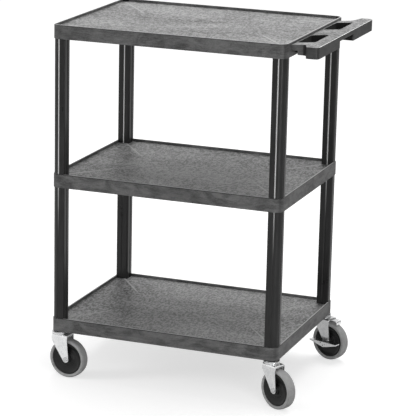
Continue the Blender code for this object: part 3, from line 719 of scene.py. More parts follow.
class Hand:
    """Moves of a modeller's hand."""

    @staticmethod
    def free() -> None:
        """Leaves edit mode and lets go of everything."""
        if bpy.context.object and bpy.context.object.mode != "OBJECT":
            bpy.ops.object.mode_set(mode="OBJECT")
        bpy.ops.object.select_all(action="DESELECT")

    @staticmethod
    def hold(thing: Thing) -> None:
        """Selects one object alone and makes it active.

        Args:
            thing: The object.
        """
        Hand.free()
        thing.select_set(True)
        bpy.context.view_layer.objects.active = thing

    @staticmethod
    def edit(thing: Thing) -> None:
        """Enters edit mode on one object."""
        Hand.hold(thing)
        bpy.ops.object.mode_set(mode="EDIT")

    @staticmethod
    def settle(name: str) -> Thing:
        """Names the new primitive and puts its size and place in its mesh.

        Args:
            name: The object's name.

        Returns:
            The object.
        """
        made = bpy.context.object
        made.name = name
        bpy.ops.object.transform_apply(location=True, rotation=True, scale=True)
        return made

    @staticmethod
    def block(name: str, low: Sequence[float], high: Sequence[float]) -> Thing:
        """Adds a block between two corners.

        Args:
            name: The object's name.
            low: Its lowest corner.
            high: Its highest corner.

        Returns:
            The block, in object mode.
        """
        Hand.free()
        middle = [(a + b) / 2 for a, b in zip(low, high)]
        size = [b - a for a, b in zip(low, high)]
        bpy.ops.mesh.primitive_cube_add(size=1, location=middle, scale=size)
        return Hand.settle(name)

    @staticmethod
    def hexagon(name: str, radius: float, low: float, high: float) -> Thing:
        """Adds a hexagonal block between two levels.

        Args:
            name: The object's name.
            radius: Distance from the axis to its corners.
            low: Lower level.
            high: Upper level.

        Returns:
            The block, in object mode.
        """
        Hand.free()
        place = (0, 0, (low + high) / 2)
        bpy.ops.mesh.primitive_cylinder_add(vertices=6, radius=radius, depth=high - low, location=place)
        return Hand.settle(name)

    @staticmethod
    def pick(kind: str, test: Callable[[Any], bool]) -> None:
        """Selects the edges or faces that pass a test.

        Args:
            kind: EDGE or FACE.
            test: Says of one element whether it is picked.
        """
        bpy.ops.mesh.select_mode(type=kind)
        bpy.ops.mesh.select_all(action="DESELECT")
        form = bmesh.from_edit_mesh(bpy.context.object.data)
        form.normal_update()
        for item in {"EDGE": form.edges, "FACE": form.faces}[kind]:
            if test(item):
                item.select_set(True)
        form.select_flush_mode()
        bmesh.update_edit_mesh(bpy.context.object.data)

    @staticmethod
    def round_off(test: Callable[[Any], bool], width: float, steps: int) -> None:
        """Bevels the edges that pass a test."""
        Hand.pick("EDGE", test)
        bpy.ops.mesh.bevel(offset=width, segments=steps, affect="EDGES")

    @staticmethod
    def pull(move: Place) -> None:
        """Extrudes the selection along a move."""
        bpy.ops.mesh.extrude_region_move(TRANSFORM_OT_translate={"value": move})

    @staticmethod
    def face_out() -> None:
        """Turns every face outwards and leaves edit mode."""
        bpy.ops.mesh.select_all(action="SELECT")
        bpy.ops.mesh.normals_make_consistent(inside=False)
        Hand.free()

    @staticmethod
    def trace(name: str, points: Sequence[Place], closed: bool) -> Thing:
        """Draws a chain of edges by extruding one vertex from point to point.

        Args:
            name: The object's name.
            points: The chain's points.
            closed: Whether the last point joins the first and the outline is filled.

        Returns:
            The chain or the filled outline, in edit mode with all of it selected.
        """
        Hand.free()
        bpy.ops.mesh.primitive_plane_add(size=0.01)
        made = bpy.context.object
        made.name = name
        bpy.ops.object.mode_set(mode="EDIT")
        bpy.ops.mesh.select_mode(type="VERT")
        bpy.ops.mesh.select_all(action="SELECT")
        bpy.ops.mesh.merge(type="CENTER")
        bpy.ops.transform.translate(value=points[0])
        for start, end in zip(points, points[1:]):
            Hand.pull(tuple(b - a for a, b in zip(start, end)))
        bpy.ops.mesh.select_all(action="SELECT")
        if closed:
            bpy.ops.mesh.edge_face_add()
        return made

    @staticmethod
    def slab(name: str, outline: Sequence[Place], move: Place) -> Thing:
        """Fills an outline and pulls it into a solid.

        Args:
            name: The object's name.
            outline: Points round one face.
            move: From that face to the opposite one.

        Returns:
            The solid.
        """
        made = Hand.trace(name, outline, True)
        Hand.pull(move)
        Hand.face_out()
        return made

    @staticmethod
    def turn(name: str, profile: Sequence[Point], steps: int, across: bool = False) -> Thing:
        """Spins a closed profile of radius and level into a ring or a disc.

        Args:
            name: The object's name.
            profile: Points of the profile, from the axis or round a ring's section.
            steps: Steps round the axis.
            across: Turns the axis from Z to Y.

        Returns:
            The turned object.
        """
        points = [(radius, 0.0, level) for radius, level in profile]
        if profile[0][0] > 0:
            points.append(points[0])
        made = Hand.trace(name, points, False)
        bpy.ops.mesh.spin(steps=steps, angle=math.tau, center=(0, 0, 0), axis=(0, 0, 1))
        bpy.ops.mesh.select_all(action="SELECT")
        bpy.ops.mesh.remove_doubles(threshold=1e-6)
        bpy.ops.mesh.dissolve_degenerate(threshold=1e-7)
        Hand.face_out()
        if across:
            made.data.transform(ACROSS)
        return made

    @staticmethod
    def rod(name: str, radius: float, low: float, high: float, steps: int, across: bool = False) -> Thing:
        """Turns a plain round rod between two levels."""
        return Hand.turn(name, [(0, low), (radius, low), (radius, high), (0, high)], steps, across)

    @staticmethod
    def use(thing: Thing, kind: str, **settings: Any) -> None:
        """Adds a modifier, sets it and applies it.

        Args:
            thing: The object.
            kind: The modifier's type.
            **settings: Its properties.
        """
        modifier = thing.modifiers.new(kind.lower(), kind)
        for key, value in settings.items():
            setattr(modifier, key, value)
        Hand.hold(thing)
        bpy.ops.object.modifier_apply(modifier=modifier.name)

    @staticmethod
    def carve(thing: Thing, tool: Thing, operation: str = "DIFFERENCE") -> None:
        """Cuts, joins or intersects with a tool, and drops the tool."""
        Hand.use(thing, "BOOLEAN", operation=operation, solver="EXACT", object=tool)
        bpy.data.objects.remove(tool)

    @staticmethod
    def join(things: Sequence[Thing], name: str) -> Thing:
        """Joins objects into one mesh.

        Args:
            things: The objects. The first one stays.
            name: Its new name.

        Returns:
            The joined object.
        """
        Hand.hold(things[0])
        for thing in things[1:]:
            thing.select_set(True)
        bpy.ops.object.join()
        things[0].name = name
        return things[0]

    @staticmethod
    def smooth(thing: Thing, sharp: float) -> None:
        """Shades smooth all but the edges sharper than an angle in degrees."""
        Hand.hold(thing)
        bpy.ops.object.shade_smooth_by_angle(angle=math.radians(sharp))

    @staticmethod
    def soften(thing: Thing, width: float, hard: float = 30.0) -> None:
        """Merges what lies flat, rounds the hard edges and smooths the rest.

        Args:
            thing: The object.
            width: Width of the rounding.
            hard: Angle in degrees past which an edge is hard.
        """
        Hand.edit(thing)
        bpy.ops.mesh.select_all(action="SELECT")
        bpy.ops.mesh.remove_doubles(threshold=2e-6)
        bpy.ops.mesh.dissolve_limited(angle_limit=math.radians(0.4))
        Hand.free()
        angle = math.radians(hard)
        Hand.use(thing, "BEVEL", width=width, segments=2, limit_method="ANGLE", angle_limit=angle)
        Hand.smooth(thing, 50)
        Hand.use(thing, "WEIGHTED_NORMAL", keep_sharp=True, weight=50)

    @staticmethod
    def copy(thing: Thing, name: str, place: Matrix) -> Thing:
        """Copies an object with its own mesh and puts it in its place.

        Args:
            thing: The object.
            name: The copy's name.
            place: Where it goes.

        Returns:
            The copy.
        """
        made = thing.copy()
        made.data = thing.data.copy()
        made.name = name
        bpy.context.scene.collection.objects.link(made)
        made.data.transform(place)
        return made


def arc(centre: Point, radius: float, start: float, end: float, steps: int) -> List[Point]:
    """Points along an arc between two angles in degrees, both included."""
    angles = [math.radians(start + (end - start) * i / steps) for i in range(steps + 1)]
    return [(centre[0] + radius * math.cos(a), centre[1] + radius * math.sin(a)) for a in angles]


def bend(before: Point, corner: Point, after: Point, reach: float, steps: int = 8) -> List[Point]:
    """Points of a soft bend in place of one corner of an outline.

    Args:
        before: The point before the corner.
        corner: The corner.
        after: The point after it.
        reach: How far along each side the bend starts.
        steps: Steps of the curve.

    Returns:
        The curve's points.
    """
    middle = Vector(corner)
    start = middle + (Vector(before) - middle).normalized() * reach
    end = middle + (Vector(after) - middle).normalized() * reach
    shares = [i / steps for i in range(steps + 1)]
    curve = [start.lerp(middle, t).lerp(middle.lerp(end, t), t) for t in shares]
    return [(point.x, point.y) for point in curve]


def both_sides(start: float, end: float) -> List[Point]:
    """One stretch from the middle, behind it and in front of it."""
    return [(start, end), (-end, -start)]


def steps_from(x: float, z: float, steps: Sequence[Point]) -> List[Point]:
    """Points of a profile, each given by its steps out and up from one corner."""
    return [(x + out, z + up) for out, up in steps]


def flat(points: Sequence[Point], level: float) -> List[Place]:
    """Outline points laid at one height."""
    return [(x, y, level) for x, y in points]


def upright(points: Sequence[Point], depth: float) -> List[Place]:
    """Side view points stood at one depth."""
    return [(x, depth, z) for x, z in points]


@dataclass
class Kit:
    """What every sub-assembly needs: the finishes and the list of pieces made."""

    looks: Dict[Slot, Look] = field(default_factory=finishes)
    made: List[Thing] = field(default_factory=list)

    def coat(self, piece: Thing, slot: Slot) -> None:
        """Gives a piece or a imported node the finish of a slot."""
        piece.data.materials.clear()
        piece.data.materials.append(self.looks[slot])

    def dress(self, piece: Thing, slot: Slot, body: str, node: str) -> None:
        """Gives a piece its finish, its body and the node that it stands for.

        Args:
            piece: The finished object.
            slot: Its material slot.
            body: The body that it rides on.
            node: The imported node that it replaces.
        """
        Hand.free()
        self.coat(piece, slot)
        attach(piece, body)
        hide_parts(node)
        self.made.append(piece)

    def keep(self, node: str, slot: Slot) -> None:
        """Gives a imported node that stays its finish."""
        self.coat(frame["nodes"][node], slot)
        LOG.info("%s keeps its solid", node)


# Shelves and handle


@dataclass
class Shelf:
    """One moulded shelf with a lipped tray, post sockets and ribs underneath."""

    kit: Kit
    node: str
    posts_above: bool
    posts_below: bool
    corner: float = 0.020
    lip_width: float = 0.0045
    lip_height: float = 0.007
    rim_round: float = 0.0022
    skirt_wall: float = 0.0045
    deck: float = 0.005
    columns: int = 8
    rows: int = 6
    rib: float = 0.0035
    rib_rise: float = 0.004
    post_inset: float = 0.002
    post_side: float = 0.033
    post_corner: float = 0.0035
    play: float = 0.0003
    seat_above: float = 0.014
    seat_below: float = 0.016
    block_wall: float = 0.004
    bore: float = 0.0098
    flute_inset: float = 0.0225
    flute_depth: float = 0.0007
    flute_reach: float = 0.0130
    edge: float = 0.0009

    def box(self) -> Box:
        """Lowest and highest corner of the shelf without its handle.

        Returns:
            The two corners. The plan is the middle shelf's, which has no handle.
        """
        low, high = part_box("middle_shelf")
        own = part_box(self.node)
        return Vector((low.x, low.y, own[0].z)), Vector((high.x, high.y, own[1].z))

    def tray(self) -> Thing:
        """Models the block with its round corners and sunk tray.

        Returns:
            The block.
        """
        low, high = self.box()
        shelf = Hand.block(self.node + "_moulding", low, high)
        Hand.edit(shelf)
        Hand.round_off(is_upright, self.corner, 12)
        Hand.round_off(lambda e: all(v.co.z > high.z - TOUCH for v in e.verts), self.rim_round, 4)
        Hand.pick("FACE", lambda f: f.normal.z > 0.999)
        bpy.ops.mesh.inset(thickness=self.lip_width - self.rim_round)
        Hand.pull((0, 0, -self.lip_height))
        Hand.free()
        return shelf

    def waffle(self) -> Thing:
        """Models the pockets between the ribs as one cutter from a grid.

        Returns:
            The cutter, one block for each pocket.
        """
        low, high = self.box()
        half = [(high[i] - low[i]) / 2 - self.skirt_wall for i in (0, 1)]
        start = low.z + self.rib_rise / 2
        spot = (*((low + high) / 2).xy, start)
        Hand.free()
        bpy.ops.mesh.primitive_grid_add(
            x_subdivisions=self.columns, y_subdivisions=self.rows, size=2, location=spot
        )
        bpy.ops.transform.resize(value=(*half, 1))
        cutter = Hand.settle("waffle")
        Hand.edit(cutter)
        bpy.ops.mesh.select_all(action="SELECT")
        bpy.ops.mesh.inset(thickness=self.rib / 2, use_individual=True)
        cell = 4 * half[0] * half[1] / (self.columns * self.rows)
        Hand.pick("FACE", lambda f: f.calc_area() < cell / 2)
        bpy.ops.mesh.delete(type="FACE")
        bpy.ops.mesh.select_all(action="SELECT")
        Hand.pull((0, 0, high.z - self.lip_height - self.deck - start))
        Hand.face_out()
        return cutter

    def underside(self) -> Thing:
        """Models the hollow under the shelf: a shallow recess and pockets between ribs.

        Returns:
            The cutter, which leaves the corner blocks standing.
        """
        low, high = self.box()
        wall = self.skirt_wall
        foot = low.z - OVERCUT
        far = (high.x - wall, high.y - wall, low.z + self.rib_rise)
        recess = Hand.block("recess", (low.x + wall, low.y + wall, foot), far)
        Hand.edit(recess)
        Hand.round_off(is_upright, self.corner - wall, 10)
        Hand.free()
        Hand.carve(recess, self.waffle(), "UNION")
        ceiling = high.z - self.lip_height - self.deck / 2
        Hand.carve(recess, self.square(self.block_wall, foot - OVERCUT, ceiling))
        return recess

    def square(self, grow: float, low: float, high: float) -> Thing:
        """Four prisms round the post places, with the outer corner more rounded.

        Args:
            grow: How far each stands outside the post on its inner sides.
            low: Lower level.
            high: Upper level.

        Returns:
            The prisms as one object.
        """
        near = self.post_inset - self.play
        far = self.post_inset + self.post_side + grow
        prisms = []
        for corner in Corner:
            outer = corner.inside(self.box(), near, near)
            inner = corner.inside(self.box(), far, far)
            xs, ys = sorted((outer[0], inner[0])), sorted((outer[1], inner[1]))
            prism = Hand.block("prism", (xs[0], ys[0], low), (xs[1], ys[1], high))
            others = [(x, y) for x in xs for y in ys if (x, y) != outer]
            Hand.edit(prism)
            Hand.round_off(lambda e: stands_at(e, [outer]), self.corner - near, 10)
            Hand.round_off(lambda e: stands_at(e, others), self.post_corner, 4)
            Hand.free()
            prisms.append(prism)
        return Hand.join(prisms, "prisms")

    def flutes(self) -> Thing:
        """Models slim dimples for the long skirts, in line with the grooves of the posts.

        Returns:
            The cutters as one object.
        """
        low, high = self.box()
        dimples = []
        for corner in Corner:
            Hand.free()
            spot = (*corner.inside((low, high), self.flute_inset, 0), (low.z + high.z) / 2)
            bpy.ops.mesh.primitive_uv_sphere_add(segments=24, ring_count=16, radius=1, location=spot)
            bpy.ops.transform.resize(value=(2 * self.flute_depth, self.flute_depth, self.flute_reach))
            dimples.append(Hand.settle("flute"))
        return Hand.join(dimples, "flutes")

    def sleeve_bores(self, low: float, high: float) -> Thing:
        """Drills for the caster sleeves, one in each corner.

        Args:
            low: Lower level.
            high: Upper level.

        Returns:
            The drills as one object.
        """
        drills = []
        for corner in Corner:
            sleeve = middle_of(f"caster_sleeve_{corner.word}")
            drill = Hand.rod("drill", self.bore, low, high, 32)
            drill.data.transform(Matrix.Translation((sleeve.x, sleeve.y, 0)))
            drills.append(drill)
        return Hand.join(drills, "drills")

    def build(self) -> Thing:
        """Models the whole shelf.

        Returns:
            The shelf, not yet dressed.
        """
        low, high = self.box()
        shelf = self.tray()
        Hand.carve(shelf, self.underside())
        cutters = []
        if self.posts_above:
            cutters.append(self.square(self.play, high.z - self.seat_above, high.z + OVERCUT))
        if self.posts_below:
            cutters.append(self.square(self.play, low.z - OVERCUT, low.z + self.seat_below))
        Hand.carve(shelf, Hand.join(cutters, "sockets"))
        if not self.posts_below:
            Hand.carve(shelf, self.sleeve_bores(low.z - OVERCUT, high.z))
        return shelf

    def dress(self, shelf: Thing) -> None:
        """Softens and dresses the modelled shelf."""
        Hand.soften(shelf, self.edge)
        self.kit.dress(shelf, Slot.SHELF, "frame", self.node)


@dataclass
class Handle:
    """The push handle on the right end of the top shelf: a bar, a web and two necks."""

    edge_x: float
    middle_y: float
    rim: float
    reach: float = 0.080
    top_drop: float = 0.001
    root_drop: float = 0.005
    depth: float = 0.028
    bar: float = 0.031
    length: float = 0.456
    end_radius: float = 0.011
    wall: float = 0.003
    skin: float = 0.004
    root: float = -0.002
    neck_root: float = 0.190
    neck_lean: float = 0.012
    neck_bend: float = 0.010
    neck_relief: Point = (0.016, 0.010)
    bar_bend: float = 0.006
    aperture_start: float = 0.044
    aperture_length: float = 0.112
    aperture_radius: float = 0.007
    strip: float = 0.004
    relief: float = 0.056
    relief_height: float = 0.017
    relief_radius: float = 0.002
    over: float = 0.005

    @property
    def inner(self) -> float:
        """Distance from the skirt to the bar's inner edge."""
        return self.reach - self.bar

    @property
    def top(self) -> float:
        """Level of the bar's top."""
        return self.rim - self.top_drop

    @property
    def foot(self) -> float:
        """Level of the handle's underside."""
        return self.top - self.depth

    @property
    def neck_start(self) -> float:
        """Distance from the middle to the hollow of a neck."""
        return self.aperture_start + self.aperture_length + self.wall

    def at(self, points: Sequence[Point]) -> List[Point]:
        """Moves points given from the middle of the skirt to their place."""
        return [(x + self.edge_x, y + self.middle_y) for x, y in points]

    def rounded(self, xs: Point, ys: Point, radius: float, steps: int = 5) -> List[Point]:
        """Outline of a round-cornered rectangle on the handle.

        Args:
            xs: Its ends along X, from the skirt.
            ys: Its ends along Y, from the middle.
            radius: Radius of its corners.
            steps: Steps round a corner.

        Returns:
            The outline's points.
        """
        left, right = xs[0] + radius, xs[1] - radius
        front, back = ys[0] + radius, ys[1] - radius
        points: List[Point] = []
        for index, centre in enumerate(((right, back), (left, back), (left, front), (right, front))):
            points += arc(centre, radius, 90 * index, 90 * (index + 1), steps)
        return self.at(points)

    def outline(self) -> List[Point]:
        """Outline of the handle seen from above.

        Returns:
            The outline's points.
        """
        half = self.length / 2
        root = (self.root, self.neck_root)
        neck = (self.inner - self.neck_lean, self.neck_root)
        tip = (self.inner, half)
        back: List[Point] = [root]
        back += bend(root, neck, tip, self.neck_bend)
        back += bend(neck, tip, (self.reach, half), self.bar_bend)
        back += arc((self.reach - self.end_radius, half - self.end_radius), self.end_radius, 90, 0, 8)
        front = [(x, -y) for x, y in reversed(back)]
        return self.at(list(reversed(back + front)))

    def hollow(self, handle: Thing, shapes: Sequence[List[Point]], height: float) -> None:
        """Cuts shapes into the handle from below.

        Args:
            handle: The handle.
            shapes: Outlines seen from above.
            height: How far above the handle's foot they reach.
        """
        foot = self.foot - self.over
        cutters = [Hand.slab("hollow", flat(shape, foot), (0, 0, height + self.over)) for shape in shapes]
        Hand.carve(handle, Hand.join(cutters, "hollows"))

    def build(self) -> Thing:
        """Models the handle.

        Returns:
            The handle, ready to join the top shelf.
        """
        handle = Hand.slab("handle", flat(self.outline(), self.foot), (0, 0, self.depth))
        half, high = self.length / 2, self.top + self.over
        start, end = self.edge_x + self.root - 0.001, self.edge_x + self.inner
        wedge = [(start, self.top - self.root_drop), (end, self.top), (end, high), (start, high)]
        Hand.carve(handle, Hand.slab("wedge", upright(wedge, self.middle_y - half), (0, 2 * half, 0)))
        openings = both_sides(self.aperture_start, self.aperture_start + self.aperture_length)
        shapes = [self.rounded((self.strip, self.inner), ends, self.aperture_radius) for ends in openings]
        self.hollow(handle, shapes, self.depth + 3 * self.over)
        self.hollow(handle, self.hollows(), self.depth - self.root_drop - self.skin)
        grip = (self.inner + self.wall, self.reach + OVERCUT)
        shapes = [self.rounded(grip, (-self.relief, self.relief), self.relief_radius)]
        self.hollow(handle, shapes, self.relief_height)
        width, height = self.neck_relief
        necks = both_sides(self.neck_start, self.neck_root - self.root)
        shapes = [self.rounded((2 * self.root, width), ends, self.relief_radius / 2, 2) for ends in necks]
        self.hollow(handle, shapes, height)
        return handle

    def hollows(self) -> List[List[Point]]:
        """Outlines of the hollows under the bar, the web and the necks.

        Returns:
            The outlines.
        """
        bar = (self.inner + self.wall, self.reach - self.wall)
        neck = (self.strip, self.inner - self.wall)
        web = self.aperture_start - self.wall
        shapes = [self.rounded(bar, (-self.relief, self.relief), self.wall)]
        shapes.append(self.rounded(neck, (-web, web), self.aperture_radius))
        bar_ends = both_sides(self.relief + self.wall, self.length / 2 - self.wall)
        neck_ends = both_sides(self.neck_start, self.neck_root - self.wall)
        for bar_end, neck_end in zip(bar_ends, neck_ends):
            shapes.append(self.rounded(bar, bar_end, self.aperture_radius))
            shapes.append(self.rounded(neck, neck_end, self.aperture_radius))
        return shapes


# Posts


@dataclass
class Posts:
    """The eight grooved posts, modelled once and copied to their corners."""

    kit: Kit
    side: float = 0.033
    corner: float = 0.018
    groove_width: float = 0.005
    groove_depth: float = 0.0014
    wing: float = 0.0035
    inner: float = 0.0045
    wall: float = 0.005
    edge: float = 0.0005
    hard: float = 34.0

    def outline(self) -> List[Point]:
        """Outline of the front right post, from its outer corner at the origin.

        Returns:
            The outline's points, the same on both sides of the diagonal.
        """
        side, corner = self.side, self.corner
        start = (side - self.groove_width) / 2
        meet = math.degrees(math.acos((corner - start) / corner))
        half = arc((corner, corner), corner, 225, 180 + meet, 8)
        radius = (self.groove_width ** 2 / 4 + self.groove_depth ** 2) / (2 * self.groove_depth)
        spread = math.degrees(math.asin(self.groove_width / 2 / radius))
        out = radius - self.groove_depth
        half += arc((side / 2, -out), radius, 90 + spread, 90 - spread, 10)[1:]
        half += arc((side - self.wing, self.wing), self.wing, 270, 360, 5)
        half += arc((side + out, side / 2), radius, 180 + spread, 180 - spread, 10)
        half += arc((side - self.inner, side - self.inner), self.inner, 0, 45, 3)
        mirrored = [(y, x) for x, y in reversed(half)]
        return [(-x, y) for x, y in half + mirrored[1:-1]]

    def build(self) -> Thing:
        """Models one lower post at the front right corner.

        Returns:
            The post.
        """
        low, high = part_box("lower_post_front_right")
        wall = self.wall
        points = [(high.x + x, low.y + y) for x, y in self.outline()]
        post = Hand.slab("post", flat(points, low.z), (0, 0, high.z - low.z))
        near = (low.x + wall, low.y + wall, low.z - OVERCUT)
        bore = Hand.block("bore", near, (high.x - wall, high.y - wall, high.z + OVERCUT))
        Hand.edit(bore)
        Hand.round_off(lambda e: stands_at(e, [(high.x - wall, low.y + wall)]), self.corner - wall, 8)
        Hand.free()
        Hand.carve(post, bore)
        Hand.soften(post, self.edge, self.hard)
        return post

    def dress(self) -> None:
        """Copies the post to its eight places and dresses it."""
        source = self.build()
        start = middle_of("lower_post_front_right")
        for tier in ("lower", "upper"):
            for corner in Corner:
                node = f"{tier}_post_{corner.word}"
                turn = Matrix.Rotation(math.radians(90) * corner.quarter_turns, 4, "Z")
                place = Matrix.Translation(middle_of(node)) @ turn @ Matrix.Translation(-start)
                post = Hand.copy(source, f"{node}_extrusion", place)
                self.kit.dress(post, Slot.POST, "frame", node)
        bpy.data.objects.remove(source)


# Casters


@dataclass
class CasterSizes:
    """Sizes that the pieces of a caster share."""

    trail: float
    axle: float
    crown: float
    fork_gap: float = 0.031
    sheet: float = 0.0025
    play: float = 0.0003

    @property
    def outer(self) -> float:
        """Distance from the middle of the fork to its outer face."""
        return self.fork_gap / 2 + self.sheet

    @property
    def to_axle(self) -> Matrix:
        """Moves a piece from the origin onto the axle."""
        return Matrix.Translation((self.trail, 0, self.axle))


@dataclass
class CasterModel:
    """Patterns for the pieces of a caster, with the swivel axis on Z and the trail on +X.

    A Profile gives points by their steps out and up from the corner that they shape, and for the
    hub's web by their radius and their distance from its middle.
    """

    sizes: CasterSizes
    blank: Point = (-0.03, 0.06)
    leg_front: float = 0.015
    leg_back: float = 0.030
    leg_shoulder: float = 0.015
    leg_end: float = 0.0085
    bend: float = 0.005
    crown_radius: float = 0.0195
    pin_bore: float = 0.0043
    axle_bore: float = 0.0038
    fork_edge: float = 0.0006
    tyre_width: float = 0.026
    tyre: float = 0.009
    tyre_shoulder: float = 0.0045
    tyre_bead: Profile = ((0.0, -0.002), (0.0016, -0.0006), (0.003, 0.0))
    tread_drop: Point = (0.0002, 0.0006)
    tread_half: float = 0.45
    hub_width: float = 0.022
    hub_bore: float = 0.0068
    boss_radius: float = 0.0120
    boss_gap: float = 0.0026
    boss_edge: Profile = ((-0.001, 0.0), (0.0, -0.0008))
    web_dish: Profile = ((0.0130, 0.0085), (0.0150, 0.0075), (0.0185, 0.0073))
    web_bead: Profile = ((0.0192, 0.0080), (0.0205, 0.0080), (0.0212, 0.0073))
    web_rise: Profile = ((0.0300, 0.0074), (0.0335, 0.0084))
    hub_lip: Profile = ((-0.0045, -0.0006), (-0.0035, 0.0), (-0.0006, 0.0), (0.0, -0.0006))
    hex_radius: float = 0.0063
    bolt_head: float = 0.0034
    bolt_dome: Profile = ((0.0, -0.0040), (0.0052, -0.0034), (0.0064, -0.0022), (0.0064, 0.001), (0.0, 0.001))
    bolt_root: Profile = ((0.0, -0.001), (0.0035, -0.001))
    bolt_end: float = 0.0232
    bolt_tip: Profile = ((0.0035, -0.0007), (0.0029, 0.0), (0.0, 0.0))
    bolt_edge: float = 0.0003
    nut_height: float = 0.0035
    nut_face: Profile = ((0.0056, 0.0), (0.0064, 0.0006))
    nut_edge: float = 0.0002
    race_radius: float = 0.0205
    race_bore: float = 0.0044
    race_sheet: float = 0.001
    cup_foot: Profile = ((-0.0012, 0.0), (-0.0003, 0.0008), (0.0, 0.0018))
    cup_lip: Profile = ((0.0, -0.0005), (-0.0006, 0.0), (-0.0016, 0.0), (-0.002, -0.0004))
    stem_radius: float = 0.0055
    stem_tip: Profile = ((0.0, -0.001), (-0.001, 0.0))
    pin_radius: float = 0.004
    pin_head: float = 0.008
    pin_edge: Profile = ((-0.0018, 0.0), (-0.0002, 0.0008), (0.0, 0.0025))
    race_height: float = 0.002
    race_slope: Profile = ((-0.0025, 0.0), (-0.0018, 0.0003), (-0.0004, 0.0009))
    race_edge: Profile = ((0.0, 0.0014), (-0.0004, 0.002))

    def fork(self) -> Thing:
        """Models the pressed fork from a bent channel trimmed to its side view.

        Returns:
            The fork.
        """
        size, half = self.sizes, self.sizes.outer
        foot = size.axle - 2 * self.leg_end
        fork = Hand.block("fork", (self.blank[0], -half, foot), (self.blank[1], half, size.crown))
        Hand.edit(fork)
        Hand.round_off(self.is_top_side, self.bend, 6)
        Hand.pick("FACE", lambda f: f.normal.z < -0.9 or abs(f.normal.x) > 0.9)
        bpy.ops.mesh.delete(type="ONLY_FACE")
        Hand.free()
        Hand.use(fork, "SOLIDIFY", thickness=size.sheet, offset=-1, use_even_offset=True)
        Hand.carve(fork, self.side_view(half + OVERCUT), "INTERSECT")
        crown = Hand.rod("crown", self.crown_radius, size.crown - size.sheet, size.crown, 48)
        Hand.carve(fork, crown, "UNION")
        Hand.carve(fork, Hand.rod("pin_hole", self.pin_bore, size.crown - OVERCUT, size.crown + OVERCUT, 24))
        bore = Hand.rod("bore", self.axle_bore, -half - OVERCUT, half + OVERCUT, 24, True)
        bore.data.transform(size.to_axle)
        Hand.carve(fork, bore)
        Hand.soften(fork, self.fork_edge, 35)
        return fork

    def is_top_side(self, edge: Edge) -> bool:
        """Says whether an edge runs along the trail at the top of the fork's side.

        Args:
            edge: An edge of the fork's blank.

        Returns:
            Whether it does.
        """
        a, b = (v.co for v in edge.verts)
        at_side = all(abs(abs(v.y) - self.sizes.outer) < TOUCH for v in (a, b))
        return at_side and abs(a.x - b.x) > NEAR and min(a.z, b.z) > self.sizes.crown - TOUCH

    def side_view(self, half: float) -> Thing:
        """Models the fork's side view as a thick slab.

        Args:
            half: Half the slab's thickness.

        Returns:
            The slab.
        """
        size = self.sizes
        top = size.crown + OVERCUT
        shoulder = size.crown - self.leg_shoulder
        points = arc((size.trail, size.axle), self.leg_end, 200, 355, 16)
        points += [(self.leg_back, shoulder), (self.leg_back, top)]
        points += [(-self.leg_front, top), (-self.leg_front, shoulder)]
        return Hand.slab("side_view", upright(points, -half), (0, 2 * half, 0))

    def ring(self, name: str, upper: List[Point], sharp: float) -> Thing:
        """Turns a profile and its mirror image into a ring on the axle.

        Args:
            name: The object's name.
            upper: The half of the profile on one side.
            sharp: Angle in degrees past which an edge stays sharp.

        Returns:
            The ring.
        """
        lower = [(r, -z) for r, z in reversed(upper) if z]
        made = Hand.turn(name, upper + lower, 96, True)
        made.data.transform(self.sizes.to_axle)
        Hand.smooth(made, sharp)
        return made

    def tyre_ring(self) -> Thing:
        """Models the tyre with round shoulders, a slight crown and a bead line.

        Returns:
            The tyre.
        """
        radius, half, shoulder = self.sizes.axle, self.tyre_width / 2, self.tyre_shoulder
        centre, edge = self.tread_drop
        upper = steps_from(radius - self.tyre, half, self.tyre_bead)
        upper += arc((radius - edge - shoulder, half - shoulder), shoulder, 90, 12, 6)
        upper += [(radius - centre, half * self.tread_half), (radius, 0.0)]
        return self.ring("tyre", upper, 50)

    def hub_disc(self) -> Thing:
        """Models the hub with its rim, a dished web with rings and a boss.

        Returns:
            The hub.
        """
        outer = self.sizes.axle - self.tyre - self.sizes.play
        boss = self.sizes.fork_gap / 2 - self.boss_gap
        upper = [(self.hub_bore, boss), *steps_from(self.boss_radius, boss, self.boss_edge)]
        upper += [*self.web_dish, *self.web_bead, *self.web_rise]
        upper += steps_from(outer, self.hub_width / 2, self.hub_lip)
        return self.ring("hub", upper, 28)

    def mount(self, piece: Thing, edge: float) -> Thing:
        """Lays a bolt or nut across, moves it onto the axle and softens it.

        Args:
            piece: The piece, upright on Z.
            edge: Width of its rounded edges.

        Returns:
            The piece.
        """
        piece.data.transform(ACROSS)
        piece.data.transform(self.sizes.to_axle)
        Hand.soften(piece, edge, 25)
        return piece

    def bolt(self, seat: float) -> Thing:
        """Models the axle bolt with a domed hexagon head on the near side.

        Args:
            seat: Distance from the middle of the fork to the head.

        Returns:
            The bolt.
        """
        bolt = Hand.hexagon("axle_bolt", self.hex_radius, -seat - self.bolt_head, -seat)
        Hand.carve(bolt, Hand.turn("dome", steps_from(0, -seat, self.bolt_dome), 32), "INTERSECT")
        shank = steps_from(0, -seat, self.bolt_root) + steps_from(0, self.bolt_end, self.bolt_tip)
        Hand.carve(bolt, Hand.turn("shank", shank, 24), "UNION")
        return self.mount(bolt, self.bolt_edge)

    def nut(self) -> Thing:
        """Models the axle nut with both faces chamfered.

        Returns:
            The nut.
        """
        low = self.sizes.outer + self.sizes.play
        high = low + self.nut_height
        nut = Hand.hexagon("axle_nut", self.hex_radius, low, high)
        shape = [(self.axle_bore, low), *steps_from(0, low, self.nut_face)]
        shape += [(radius, high - rise) for radius, rise in reversed(self.nut_face)]
        shape += [(self.axle_bore, high)]
        Hand.carve(nut, Hand.turn("chamfer", shape, 32), "INTERSECT")
        return self.mount(nut, self.nut_edge)

